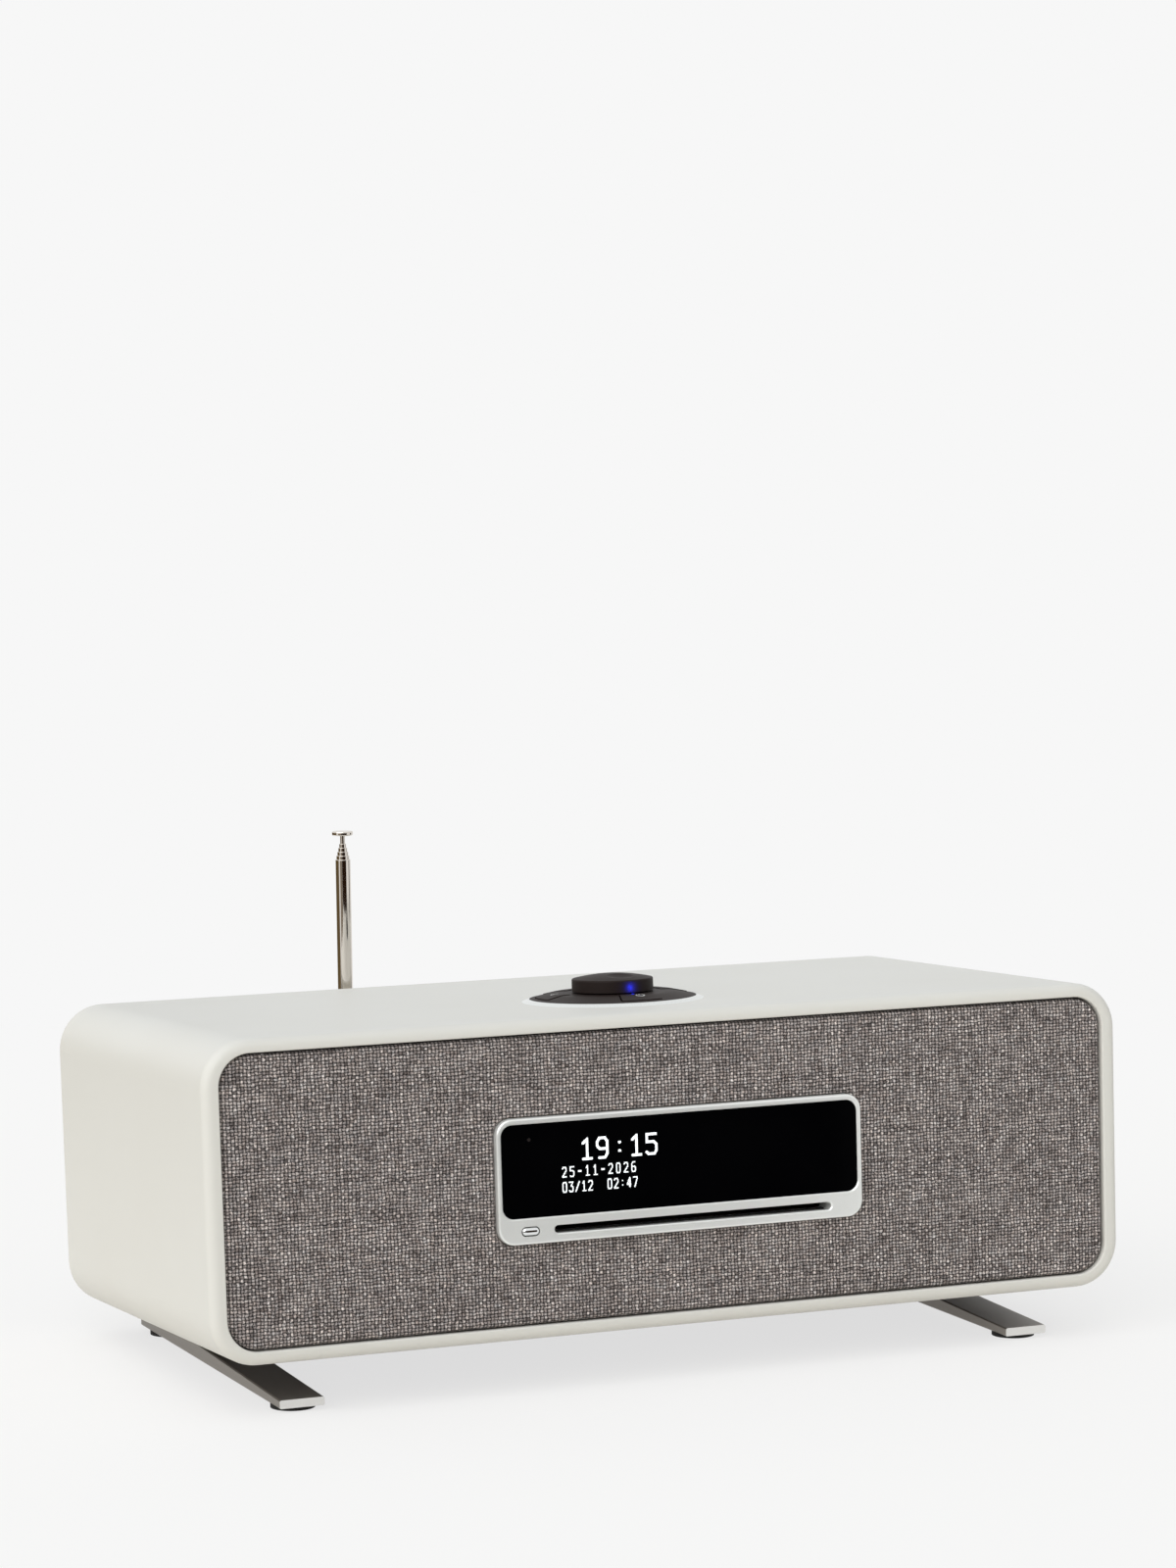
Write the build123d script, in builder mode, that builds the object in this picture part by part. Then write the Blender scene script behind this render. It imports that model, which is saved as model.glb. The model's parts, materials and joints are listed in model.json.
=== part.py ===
from build123d import *
import os
from math import asin, cos, degrees, radians, sin, tan

# A tabletop radio: a wide cabinet that leans back on two runner feet, with a woven grille, a display
# and disc slot in the middle of the front, a round control on top and a telescopic aerial behind.
# Every piece is drawn square to the cabinet, with x to the right, y back from the front lip and z up
# from mid height. The last section stands the whole radio on its feet and writes the pieces.

# Fits
fit_gap = 0.1
running_gap = 0.05
visible_gap = 0.3

# Cabinet
cabinet_width = 420.0
cabinet_height = 134.0
cabinet_depth = 206.0
cabinet_corner = 20.0
side_wall = 7.1
top_wall = 5.8
lip_round = 4.2
lip_inner_round = 0.8
rear_round = 1.8
lean_angle = 2.72
front_clearance = 23.1

# Grille and baffle
cloth_recess = 1.0
cloth_thickness = 1.0
cloth_gap = 0.7
cloth_roll = 2.0
grille_depth = 8.0
grille_rib = 9.0
grille_window_corner = 12.0
peg_radius = 3.0
peg_length = 6.0
baffle_thickness = 12.0

# Display bezel, window and disc slot
bezel_width = 168.0
bezel_height = 53.0
bezel_corner = 7.0
bezel_proud = 1.5
bezel_round = 1.0
bezel_margin = 2.5
bezel_seat = 2.5
window_width = 164.0
window_height = 39.5
window_corner = 5.0
window_recess = 0.9
window_thickness = 2.1
window_ledge = 3.0
window_chamfer = 0.5
slot_x = 5.0
slot_length = 128.0
slot_height = 3.4
slot_chamfer = 0.5
felt_thickness = 0.6
felt_depth = 3.0
felt_inset = 4.0
eject_width = 7.7
eject_height = 3.5
eject_spacing = 7.1
eject_proud = 0.8
eject_flat = 0.5
eject_travel = 0.8
eject_flange = 1.2
module_width = 120.0
module_height = 27.0
module_thickness = 3.0
module_gap = 0.5
board_thickness = 1.6

# Disc loader
disc_thickness = 1.2
loader_width = 148.0
loader_rear_gap = 17.0
loader_gap = 2.0
loader_below = 18.0
loader_above = 7.0
loader_sheet = 1.2
standoff_radius = 4.0
standoff_inset = 10.0
roller_radius = 3.5
roller_length = 132.0
roller_inset = 8.0
roller_shaft_radius = 1.5
motor_radius = 13.0
motor_height = 9.0
spindle_radius = 1.0
spindle_grip = 5.0
turntable_radius = 15.0
turntable_thickness = 2.5
turntable_drop = 2.4
hub_radius = 7.4
hub_height = 1.6
rod_radius = 1.5
rod_spread = 18.0
rod_rise = 6.0
sled_width = 16.0
sled_length = 46.0
sled_height = 7.0
sled_start = 26.0
lens_radius = 3.0
lens_height = 1.5

# Loudspeakers
driver_clearance = 5.6
driver_flange = 3.0
driver_land = 7.8
basket_wall = 1.5
basket_depth = 30.0
basket_taper = 10.2
cone_margin = 0.2
cone_depth = 13.0
cone_skin = 0.9
surround_width = 6.0
surround_skin = 0.8
coil_radius = 12.5
coil_wall = 1.0
coil_depth = 24.0
cap_rise = 4.5
magnet_radius = 27.0
magnet_depth = 22.0
magnet_gap = 1.0
back_plate = 5.0

# Rear
rear_recess = 2.0
rear_panel_thickness = 6.0
batten_width = 10.0
batten_depth = 12.0
rear_screw_radius = 1.6
rear_screw_length = 14.0
screw_head_radius = 3.2
screw_head_height = 1.8
connector_x = 80.0
connector_rise = 20.2
connector_width = 122.0
connector_height = 22.0
connector_thickness = 1.5
connector_corner = 2.0
connector_border = 4.0
jack_body = 10.0
jack_depth = 13.0
line_jack_radius = 4.2
line_jack_reach = 8.0
line_jack_neck = 0.5
line_jack_neck_cut = 0.3
line_jack_bore = 1.65
line_jack_spacing = 20.0
phone_jack_radius = 3.5
phone_jack_reach = 1.0
phone_jack_bore = 1.8
phone_jack_offset = 4.0
inlet_radius = 5.0
inlet_reach = 0.6
inlet_bore = 3.0
inlet_pin = 1.0
inlet_offset = 30.0
main_board_width = 150.0
main_board_side_gap = 12.8
main_board_top_gap = 4.1
main_board_jack_gap = 3.0
post_radius = 3.0
post_length = 8.4
post_inset = 6.0
heat_sink_width = 60.0
heat_sink_height = 36.0
heat_sink_base = 3.0
heat_sink_depth = 12.0
fin_thickness = 2.0
fin_count = 8

# Top control
dial_y = 69.0
ring_radius = 39.5
ring_band = 3.3
ring_height = 1.2
ring_floor = 0.5
ring_skirt_wall = 1.2
ring_skirt_depth = 8.5
ring_lip = 2.5
ring_lip_height = 1.5
plate_seat = 1.0
plate_rise = 2.2
plate_crown_radius = 26.0
plate_crown_round = 18.0
plate_hole_radius = 9.5
button_inner_radius = 21.0
button_margin = 1.3
button_half_angle = 17.0
button_corner = 1.2
button_gap = 0.6
button_proud = 0.25
button_flange = 0.8
button_travel = 0.6
stem_radius = 2.2
switch_size = 6.0
switch_height = 3.4
encoder_size = 12.0
encoder_height = 5.9
plunger_radius = 4.5
plunger_thickness = 0.9
plunger_spigot_radius = 2.0
plunger_spigot_length = 3.0
press_travel = 0.5
shaft_radius = 3.0
shaft_length = 6.2
knob_radius = 17.7
knob_gap = 0.6
knob_wall_height = 5.3
knob_dome = 2.1
knob_skirt = 2.5
knob_hollow = 2.8
knob_boss_radius = 6.0
knob_boss_drop = 1.5
knob_rim_round = 0.8
dimple_radius = 6.6
dimple_depth = 1.0
dimple_place = 8.7
lamp_radius = 0.7
lamp_place_radius = 19.2
lamp_angle = -86.0
lamp_length = 6.5
lamp_proud = 0.15

# Feet
foot_inset = 41.4
foot_width = 19.6
foot_tip = 10.3
foot_tip_thickness = 3.64
foot_taper = 1.73
foot_knee_inset = 78.0
foot_seat_inset = 58.0
foot_rear_inset = 5.0
foot_edge = 0.5
pad_thickness = 2.0
pad_radius = 9.4
front_pad_place = 22.3
rear_pad_inset = 18.5
foot_screw_radius = 2.0
foot_screw_bite = 5.0
foot_screw_spacing = 21.5
foot_seat_thickness = 4.0
foot_screw_head_radius = 4.0
foot_screw_head_height = 2.5

# Aerial
aerial_x = -68.7
aerial_z = -24.0
socket_radius = 4.7
socket_reach = 7.5
socket_flange_radius = 7.0
socket_flange = 2.0
collar_radius = 7.0
collar_stand_off = 2.0
collar_length = 10.0
collar_web = 3.0
swivel_neck_radius = 3.0
swivel_head_radius = 4.3
swivel_head = 1.0
fork_radius = 4.6
fork_half_width = 4.4
fork_slot_half = 1.9
fork_web = 3.5
fork_reach = 8.7
pin_radius = 1.2
pin_head_radius = 2.0
pin_head = 0.8
lug_half_width = 1.7
lug_radius = 4.2
lug_height = 9.0
tube_floor = 16.0
tube_top = 149.2
tube_radius = 3.4
tube_step = 0.46
tube_wall = 0.31
tube_ring_step = 1.8
tube_lip = 3.0
tube_bush = 6.0
tube_edge = 0.2
section_count = 5
section_floor_gap = 1.0
cap_radius = 4.75
cap_height = 2.0
cap_stand_off = 3.8
cap_edge = 0.6

# Places worked out from the sizes
opening_width = cabinet_width - 2 * side_wall
opening_height = cabinet_height - 2 * top_wall
opening_corner = cabinet_corner - (side_wall + top_wall) / 2
panel_width = opening_width - 2 * fit_gap
panel_height = opening_height - 2 * fit_gap
panel_corner = opening_corner - fit_gap
cabinet_top = cabinet_height / 2
cabinet_floor = -opening_height / 2
cloth_width = opening_width - 2 * cloth_gap
cloth_height = opening_height - 2 * cloth_gap
cloth_corner = opening_corner - cloth_gap
frame_width = cloth_width - 2 * cloth_thickness
frame_height = cloth_height - 2 * cloth_thickness
frame_corner = cloth_corner - cloth_thickness
grille_front = cloth_recess + cloth_thickness
baffle_front = grille_front + grille_depth
baffle_back = baffle_front + baffle_thickness
bezel_front = -bezel_proud
bezel_depth = baffle_front + bezel_proud
bezel_hole_width = bezel_width + 2 * visible_gap
bezel_hole_height = bezel_height + 2 * visible_gap
bezel_hole_corner = bezel_corner + visible_gap
window_z = bezel_height / 2 - bezel_margin - window_height / 2
window_seat = bezel_front + window_recess + window_thickness
slot_z = (window_z - window_height / 2 - bezel_height / 2) / 2
eject_x = slot_x - slot_length / 2 - eject_spacing - eject_width / 2
driver_x = (frame_width + bezel_width) / 4
driver_window_width = (frame_width - bezel_width) / 2 - 2 * grille_rib
driver_window_height = frame_height - 2 * grille_rib
driver_flange_radius = min(driver_window_width, driver_window_height) / 2 - driver_clearance
driver_hole_radius = driver_flange_radius - driver_land
basket_seat_radius = driver_hole_radius - basket_taper
cone_radius = driver_hole_radius - surround_width - cone_margin
rear_face = cabinet_depth - rear_recess
rear_inner = rear_face - rear_panel_thickness
loader_front = baffle_back + loader_gap
loader_depth = rear_face - jack_depth - loader_rear_gap - loader_front
loader_mid_z = slot_z + (loader_above - loader_below) / 2
loader_height = loader_above + loader_below
loader_bottom = slot_z - loader_below
loader_floor = loader_bottom + loader_sheet
spindle_y = loader_front + loader_depth / 2
connector_z = cabinet_floor + connector_rise
main_board_top = panel_height / 2 - batten_width - main_board_top_gap
main_board_bottom = connector_z + jack_body / 2 + main_board_jack_gap
main_board_height = main_board_top - main_board_bottom
main_board_z = (main_board_top + main_board_bottom) / 2
main_board_x = (panel_width - main_board_width) / 2 - batten_width - main_board_side_gap
plate_radius = ring_radius - ring_band
skirt_inner = plate_radius - plate_seat
skirt_outer = skirt_inner + ring_skirt_wall
well_radius = skirt_outer + visible_gap
plate_floor = cabinet_top + ring_floor
plate_edge = cabinet_top + ring_height
plate_crown = plate_edge + plate_rise
control_board_z = cabinet_top - ring_skirt_depth + ring_lip_height
control_board_top = control_board_z + board_thickness
button_outer_radius = skirt_inner - button_margin
button_radius = (button_inner_radius + button_outer_radius) / 2
foot_x = cabinet_width / 2 - foot_inset
foot_rear = cabinet_depth - foot_rear_inset
foot_knee = cabinet_depth - foot_knee_inset
foot_seat_start = cabinet_depth - foot_seat_inset
rear_pad_place = cabinet_depth - rear_pad_inset
foot_screw_first = rear_pad_place - foot_screw_spacing
aerial_pivot_y = rear_face + collar_stand_off + collar_length + visible_gap + fork_reach

# The ground under the leaning cabinet, and the two directions that follow it
ground_up = Vector(0, -sin(radians(lean_angle)), cos(radians(lean_angle)))
ground_back = Vector(0, cos(radians(lean_angle)), sin(radians(lean_angle)))
ground_origin = Vector(0, 0, -cabinet_height / 2) - ground_up * front_clearance
ground = Plane(origin=ground_origin, x_dir=(1, 0, 0), z_dir=ground_up)
aerial_pivot = Vector(aerial_x, aerial_pivot_y, aerial_z)
aerial_plane = Plane(origin=aerial_pivot, x_dir=(1, 0, 0), z_dir=ground_up)
dial_axis = Axis((0, dial_y, 0), (0, 0, 1))

pieces = {}


# An upright plane at a depth behind the lip, seen from the front; what goes back from it is negative
def upright(depth):
    return Plane.XZ.offset(-depth)


# A plane that faces right, for profiles with y across and z up
def sideways(x):
    return Plane.YZ.offset(x)


# The radius of the sphere behind a shallow bowl, and the angle from its lowest point to its rim
def bowl_sphere(rim_radius, depth):
    return (rim_radius**2 + depth**2) / (2 * depth)


def bowl_angle(rim_radius, sphere_radius):
    return degrees(asin(rim_radius / sphere_radius))


# Cabinet shell: a rounded tube, open in front and behind, with the well of the control on top
foot_screw_depths = (foot_screw_first, rear_pad_place)
foot_screw_places = [(side * foot_x, y) for side in (-1, 1) for y in foot_screw_depths]
lip_limit = min(side_wall, top_wall) - 2 * lip_inner_round
with BuildPart() as cabinet_shell:
    with BuildSketch(upright(0)):
        RectangleRounded(cabinet_width, cabinet_height, cabinet_corner)
    extrude(amount=-cabinet_depth)
    fillet(cabinet_shell.faces().sort_by(Axis.Y)[0].edges(), min(lip_round, lip_limit))
    fillet(cabinet_shell.faces().sort_by(Axis.Y)[-1].edges(), rear_round)
    with BuildSketch(upright(0)):
        RectangleRounded(opening_width, opening_height, opening_corner)
    extrude(amount=-cabinet_depth, mode=Mode.SUBTRACT)
    fillet(cabinet_shell.faces().sort_by(Axis.Y)[0].inner_wires()[0].edges(), lip_inner_round)
    with BuildSketch(Plane.XY.offset(cabinet_top)):
        with Locations((0, dial_y)):
            Circle(well_radius)
    extrude(amount=-2 * top_wall, mode=Mode.SUBTRACT)
    with BuildSketch(Plane.XY.offset(-cabinet_height / 2)):
        with Locations(*foot_screw_places):
            Circle(foot_screw_radius + running_gap)
    extrude(amount=foot_screw_bite, mode=Mode.SUBTRACT)
pieces["cabinet_shell"] = cabinet_shell

# Grille cloth: a skin that is drawn over the frame, rolled at its edge and open round the bezel
with BuildPart() as grille_cloth:
    with BuildSketch(upright(cloth_recess)):
        RectangleRounded(cloth_width, cloth_height, cloth_corner)
    extrude(amount=-(cloth_thickness + grille_depth))
    fillet(grille_cloth.faces().sort_by(Axis.Y)[0].edges(), cloth_roll)
    with BuildSketch(upright(grille_front)):
        RectangleRounded(frame_width, frame_height, frame_corner)
    extrude(amount=-grille_depth, mode=Mode.SUBTRACT)
    with BuildSketch(upright(cloth_recess)):
        RectangleRounded(bezel_hole_width, bezel_hole_height, bezel_hole_corner)
    extrude(amount=-cloth_thickness, mode=Mode.SUBTRACT)
pieces["grille_cloth"] = grille_cloth

# Grille frame: a board with a window for each loudspeaker and four pegs that plug into the baffle
peg_spread_x = frame_width - 2 * grille_rib
peg_spread_z = frame_height - 2 * grille_rib
with BuildPart() as grille_frame:
    with BuildSketch(upright(grille_front)):
        RectangleRounded(frame_width - 2 * fit_gap, frame_height - 2 * fit_gap, frame_corner - fit_gap)
        with Locations((-driver_x, 0), (driver_x, 0)):
            RectangleRounded(
                driver_window_width, driver_window_height, grille_window_corner, mode=Mode.SUBTRACT
            )
        RectangleRounded(bezel_hole_width, bezel_hole_height, bezel_hole_corner, mode=Mode.SUBTRACT)
    extrude(amount=-grille_depth)
    with BuildSketch(upright(baffle_front)):
        with GridLocations(peg_spread_x, peg_spread_z, 2, 2):
            Circle(peg_radius)
    extrude(amount=-peg_length)
pieces["grille_frame"] = grille_frame

# Front baffle: carries the loudspeakers and the bezel, and lets the disc through
with BuildPart() as front_baffle:
    with BuildSketch(upright(baffle_front)):
        RectangleRounded(panel_width, panel_height, panel_corner)
        with Locations((-driver_x, 0), (driver_x, 0)):
            Circle(driver_hole_radius, mode=Mode.SUBTRACT)
        RectangleRounded(
            bezel_width - 2 * bezel_seat,
            bezel_height - 2 * bezel_seat,
            bezel_corner - bezel_seat,
            mode=Mode.SUBTRACT,
        )
        with GridLocations(peg_spread_x, peg_spread_z, 2, 2):
            Circle(peg_radius + fit_gap, mode=Mode.SUBTRACT)
    extrude(amount=-baffle_thickness)
pieces["front_baffle"] = front_baffle

# Display bezel: a frame with a seat for the window, the disc slot and a stepped hole for the eject button
eject_pocket = eject_flange + eject_travel + 2 * visible_gap
with BuildPart() as display_bezel:
    with BuildSketch(upright(bezel_front)):
        RectangleRounded(bezel_width, bezel_height, bezel_corner)
    extrude(amount=-bezel_depth)
    fillet(display_bezel.faces().sort_by(Axis.Y)[0].edges(), bezel_round)
    with BuildSketch(upright(bezel_front)):
        with Locations((0, window_z)):
            RectangleRounded(window_width, window_height, window_corner)
    extrude(amount=-(window_recess + window_thickness), mode=Mode.SUBTRACT)
    chamfer(display_bezel.faces().sort_by(Axis.Y)[0].inner_wires()[0].edges(), window_chamfer)
    with BuildSketch(upright(bezel_front)):
        with Locations((0, window_z)):
            RectangleRounded(
                window_width - 2 * window_ledge, window_height - 2 * window_ledge, window_corner
            )
    extrude(amount=-bezel_depth, mode=Mode.SUBTRACT)
    with BuildSketch(upright(bezel_front)):
        with Locations((slot_x, slot_z)):
            SlotOverall(slot_length, slot_height)
    extrude(amount=-bezel_depth, mode=Mode.SUBTRACT)
    slot_wires = display_bezel.faces().sort_by(Axis.Y)[0].inner_wires()
    chamfer(slot_wires.sort_by(Axis.Z)[0].edges(), slot_chamfer)
    with BuildSketch(upright(bezel_front)):
        with Locations((eject_x, slot_z)):
            SlotOverall(eject_width + 2 * visible_gap, eject_height + 2 * visible_gap)
    extrude(amount=-bezel_depth, mode=Mode.SUBTRACT)
    with BuildSketch(upright(baffle_front)):
        with Locations((eject_x, slot_z)):
            SlotOverall(
                eject_width + 2 * (eject_flange + visible_gap),
                eject_height + 2 * (eject_flange + visible_gap),
            )
    extrude(amount=eject_pocket, mode=Mode.SUBTRACT)
pieces["display_bezel"] = display_bezel

# Display window: a dark lens that drops into the bezel's seat
with BuildPart() as display_window:
    with BuildSketch(upright(window_seat - window_thickness)):
        with Locations((0, window_z)):
            RectangleRounded(
                window_width - 2 * fit_gap, window_height - 2 * fit_gap, window_corner - fit_gap
            )
    extrude(amount=-window_thickness)
pieces["display_window"] = display_window

# Display module: the lit panel and its board, close behind the window
module_board_width = window_width - 2 * (window_ledge + module_gap)
module_board_height = window_height - 2 * (window_ledge + module_gap)
with BuildPart() as display_module:
    with BuildSketch(upright(window_seat + module_gap)):
        with Locations((0, window_z)):
            Rectangle(module_width, module_height)
    extrude(amount=-module_thickness)
    with BuildSketch(upright(window_seat + module_gap + module_thickness)):
        with Locations((0, window_z)):
            RectangleRounded(module_board_width, module_board_height, window_corner - module_gap)
    extrude(amount=-board_thickness)
pieces["display_module"] = display_module

# Eject button: a pill with a flange that keeps it behind the bezel
with BuildPart() as eject_button:
    with BuildSketch(upright(bezel_front - eject_proud)):
        with Locations((eject_x, slot_z)):
            SlotOverall(eject_width, eject_height)
    extrude(amount=-(bezel_depth + eject_proud))
    fillet(eject_button.faces().sort_by(Axis.Y)[0].edges(), (eject_height - eject_flat) / 2)
    with BuildSketch(upright(baffle_front - eject_pocket + visible_gap)):
        with Locations((eject_x, slot_z)):
            SlotOverall(eject_width + 2 * eject_flange, eject_height + 2 * eject_flange)
    extrude(amount=-eject_flange)
pieces["eject_button"] = eject_button

# Slot felt: two strips that line the slot and keep dust out
felt_offset = (slot_height - felt_thickness) / 2
with BuildPart() as slot_felt:
    with BuildSketch(upright(bezel_front + felt_inset)):
        with Locations((slot_x, slot_z + felt_offset), (slot_x, slot_z - felt_offset)):
            Rectangle(slot_length - slot_height, felt_thickness)
    extrude(amount=-felt_depth)
pieces["slot_felt"] = slot_felt

# Disc loader chassis: a folded sheet box, open towards the slot, with bores for the roller's shaft
roller_y = loader_front + roller_inset
roller_z = slot_z - disc_thickness / 2 - roller_radius
with BuildPart() as cd_chassis:
    with BuildSketch(upright(loader_front)):
        with Locations((slot_x, loader_mid_z)):
            Rectangle(loader_width, loader_height)
    extrude(amount=-loader_depth)
    with BuildSketch(upright(loader_front)):
        with Locations((slot_x, loader_mid_z)):
            Rectangle(loader_width - 2 * loader_sheet, loader_height - 2 * loader_sheet)
    extrude(amount=-(loader_depth - loader_sheet), mode=Mode.SUBTRACT)
    with BuildSketch(sideways(slot_x - loader_width / 2)):
        with Locations((roller_y, roller_z)):
            Circle(roller_shaft_radius + running_gap)
    extrude(amount=loader_width, mode=Mode.SUBTRACT)
pieces["cd_chassis"] = cd_chassis

# Standoffs: four pillars between the cabinet's floor and the loader
with BuildPart() as cd_standoffs:
    with BuildSketch(Plane.XY.offset(cabinet_floor)):
        with Locations((slot_x, spindle_y)):
            with GridLocations(
                loader_width - 2 * standoff_inset, loader_depth - 2 * standoff_inset, 2, 2
            ):
                Circle(standoff_radius)
    extrude(amount=loader_bottom - cabinet_floor)
pieces["cd_standoffs"] = cd_standoffs

# Feed roller: a rubber barrel on a steel shaft, just under the disc's path
with BuildPart() as cd_roller:
    with BuildSketch(sideways(slot_x - roller_length / 2)):
        with Locations((roller_y, roller_z)):
            Circle(roller_radius)
    extrude(amount=roller_length)
    with BuildSketch(sideways(slot_x - loader_width / 2)):
        with Locations((roller_y, roller_z)):
            Circle(roller_shaft_radius)
    extrude(amount=loader_width)
pieces["cd_roller"] = cd_roller

# Spindle motor: a drum on the loader's floor, bored for the turntable's shaft
motor_top = loader_floor + motor_height
with BuildPart() as cd_motor:
    with BuildSketch(Plane.XY.offset(loader_floor)):
        with Locations((slot_x, spindle_y)):
            Circle(motor_radius)
    extrude(amount=motor_height)
    with BuildSketch(Plane.XY.offset(motor_top)):
        with Locations((slot_x, spindle_y)):
            Circle(spindle_radius + running_gap)
    extrude(amount=-(spindle_grip + visible_gap), mode=Mode.SUBTRACT)
pieces["cd_motor"] = cd_motor

# Turntable: a plate with a hub for the disc's hole, on the motor's shaft
turntable_top = slot_z - disc_thickness / 2 - turntable_drop
with BuildPart() as cd_turntable:
    with BuildSketch(Plane.XY.offset(turntable_top - turntable_thickness)):
        with Locations((slot_x, spindle_y)):
            Circle(turntable_radius)
    extrude(amount=turntable_thickness)
    with BuildSketch(Plane.XY.offset(turntable_top)):
        with Locations((slot_x, spindle_y)):
            Circle(hub_radius)
    extrude(amount=hub_height)
    with BuildSketch(Plane.XY.offset(motor_top - spindle_grip)):
        with Locations((slot_x, spindle_y)):
            Circle(spindle_radius)
    extrude(amount=turntable_top - motor_top + spindle_grip)
pieces["cd_turntable"] = cd_turntable

# Sled rods: two rails from wall to wall of the loader
rod_z = loader_floor + rod_rise
rod_places = [(spindle_y - rod_spread, rod_z), (spindle_y + rod_spread, rod_z)]
with BuildPart() as sled_rods:
    with BuildSketch(sideways(slot_x - loader_width / 2 + loader_sheet)):
        with Locations(*rod_places):
            Circle(rod_radius)
    extrude(amount=loader_width - 2 * loader_sheet)
pieces["sled_rods"] = sled_rods

# Laser sled: a carriage on the two rods, with its lens on top
sled_x = slot_x + sled_start
with BuildPart() as laser_sled:
    with BuildSketch(Plane.XY.offset(rod_z - sled_height / 2)):
        with Locations((sled_x, spindle_y)):
            Rectangle(sled_width, sled_length)
    extrude(amount=sled_height)
    with BuildSketch(Plane.XY.offset(rod_z + sled_height / 2)):
        with Locations((sled_x, spindle_y)):
            Circle(lens_radius)
    extrude(amount=lens_height)
    with BuildSketch(sideways(sled_x - sled_width / 2)):
        with Locations(*rod_places):
            Circle(rod_radius + running_gap)
    extrude(amount=sled_width, mode=Mode.SUBTRACT)
pieces["laser_sled"] = laser_sled

# Loudspeakers: each a basket on the baffle, a magnet behind it, a cone with its coil, and a rolled surround
flange_front = baffle_front - driver_flange
basket_back = baffle_front + basket_depth
basket_radius = driver_hole_radius - visible_gap
cone_back = flange_front + cone_depth
coil_back = cone_back + coil_depth
gap_outer = coil_radius + magnet_gap
gap_inner = coil_radius - coil_wall - magnet_gap
magnet_back = basket_back + magnet_depth
cap_sphere = bowl_sphere(coil_radius, cap_rise)
cap_front = cone_back - cap_rise
surround_inner = cone_radius + fit_gap
surround_outer = cone_radius + surround_width
surround_mid = cone_radius + surround_width / 2
for side, centre_x in (("left", -driver_x), ("right", driver_x)):
    driver_axis = Axis((centre_x, 0, 0), (0, 1, 0))
    driver_plane = Plane(origin=(centre_x, 0, 0), x_dir=(1, 0, 0), z_dir=(0, 0, 1))
    with BuildPart() as basket:
        with BuildSketch(driver_plane):
            Polygon(
                (driver_flange_radius, flange_front),
                (driver_flange_radius, baffle_front),
                (basket_radius, baffle_front),
                (basket_radius, baffle_back),
                (basket_seat_radius, basket_back),
                (gap_outer, basket_back),
                (gap_outer, basket_back - basket_wall),
                (basket_seat_radius - basket_wall, basket_back - basket_wall),
                (basket_radius - basket_wall, baffle_back - basket_wall),
                (basket_radius - basket_wall, flange_front),
            )
        revolve(axis=driver_axis)
    pieces[f"{side}_speaker_basket"] = basket

    with BuildPart() as magnet:
        with BuildSketch(driver_plane):
            Polygon(
                (gap_outer, basket_back),
                (magnet_radius, basket_back),
                (magnet_radius, magnet_back),
                (0, magnet_back),
                (0, basket_back),
                (gap_inner, basket_back),
                (gap_inner, magnet_back - back_plate),
                (gap_outer, magnet_back - back_plate),
            )
        revolve(axis=driver_axis)
    pieces[f"{side}_speaker_magnet"] = magnet

    with BuildPart() as cone:
        with BuildSketch(driver_plane):
            with BuildLine():
                Line((cone_radius, flange_front), (coil_radius, cone_back))
                CenterArc((0, cap_front + cap_sphere), cap_sphere, -90, bowl_angle(coil_radius, cap_sphere))
                Line((0, cap_front), (0, cap_front + cone_skin))
                Polyline(
                    (0, cap_front + cone_skin),
                    (coil_radius - coil_wall, cone_back + cone_skin),
                    (coil_radius - coil_wall, coil_back),
                    (coil_radius, coil_back),
                    (coil_radius, cone_back + 2 * cone_skin),
                    (cone_radius, flange_front + cone_skin),
                    (cone_radius, flange_front),
                )
            make_face()
        revolve(axis=driver_axis)
    pieces[f"{side}_speaker_cone"] = cone

    with BuildPart() as surround:
        with BuildSketch(driver_plane):
            with BuildLine():
                ThreePointArc(
                    (surround_inner, flange_front),
                    (surround_mid, flange_front - surround_width / 2),
                    (surround_outer, flange_front),
                )
                ThreePointArc(
                    (surround_inner + surround_skin, flange_front),
                    (surround_mid, flange_front - surround_width / 2 + surround_skin),
                    (surround_outer - surround_skin, flange_front),
                )
                Line((surround_inner, flange_front), (surround_inner + surround_skin, flange_front))
                Line((surround_outer, flange_front), (surround_outer - surround_skin, flange_front))
            make_face()
        revolve(axis=driver_axis)
    pieces[f"{side}_speaker_surround"] = surround

# Rear batten frame: the ring that the rear panel is screwed to
screw_spread_x = opening_width / 4
screw_spread_z = opening_height - batten_width
with BuildPart() as rear_frame:
    with BuildSketch(upright(rear_inner - batten_depth)):
        RectangleRounded(panel_width, panel_height, panel_corner)
        RectangleRounded(
            panel_width - 2 * batten_width,
            panel_height - 2 * batten_width,
            max(panel_corner - batten_width, fit_gap),
            mode=Mode.SUBTRACT,
        )
        with GridLocations(screw_spread_x, screw_spread_z, 4, 2):
            Circle(rear_screw_radius + running_gap, mode=Mode.SUBTRACT)
    extrude(amount=-batten_depth)
pieces["rear_frame"] = rear_frame

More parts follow.
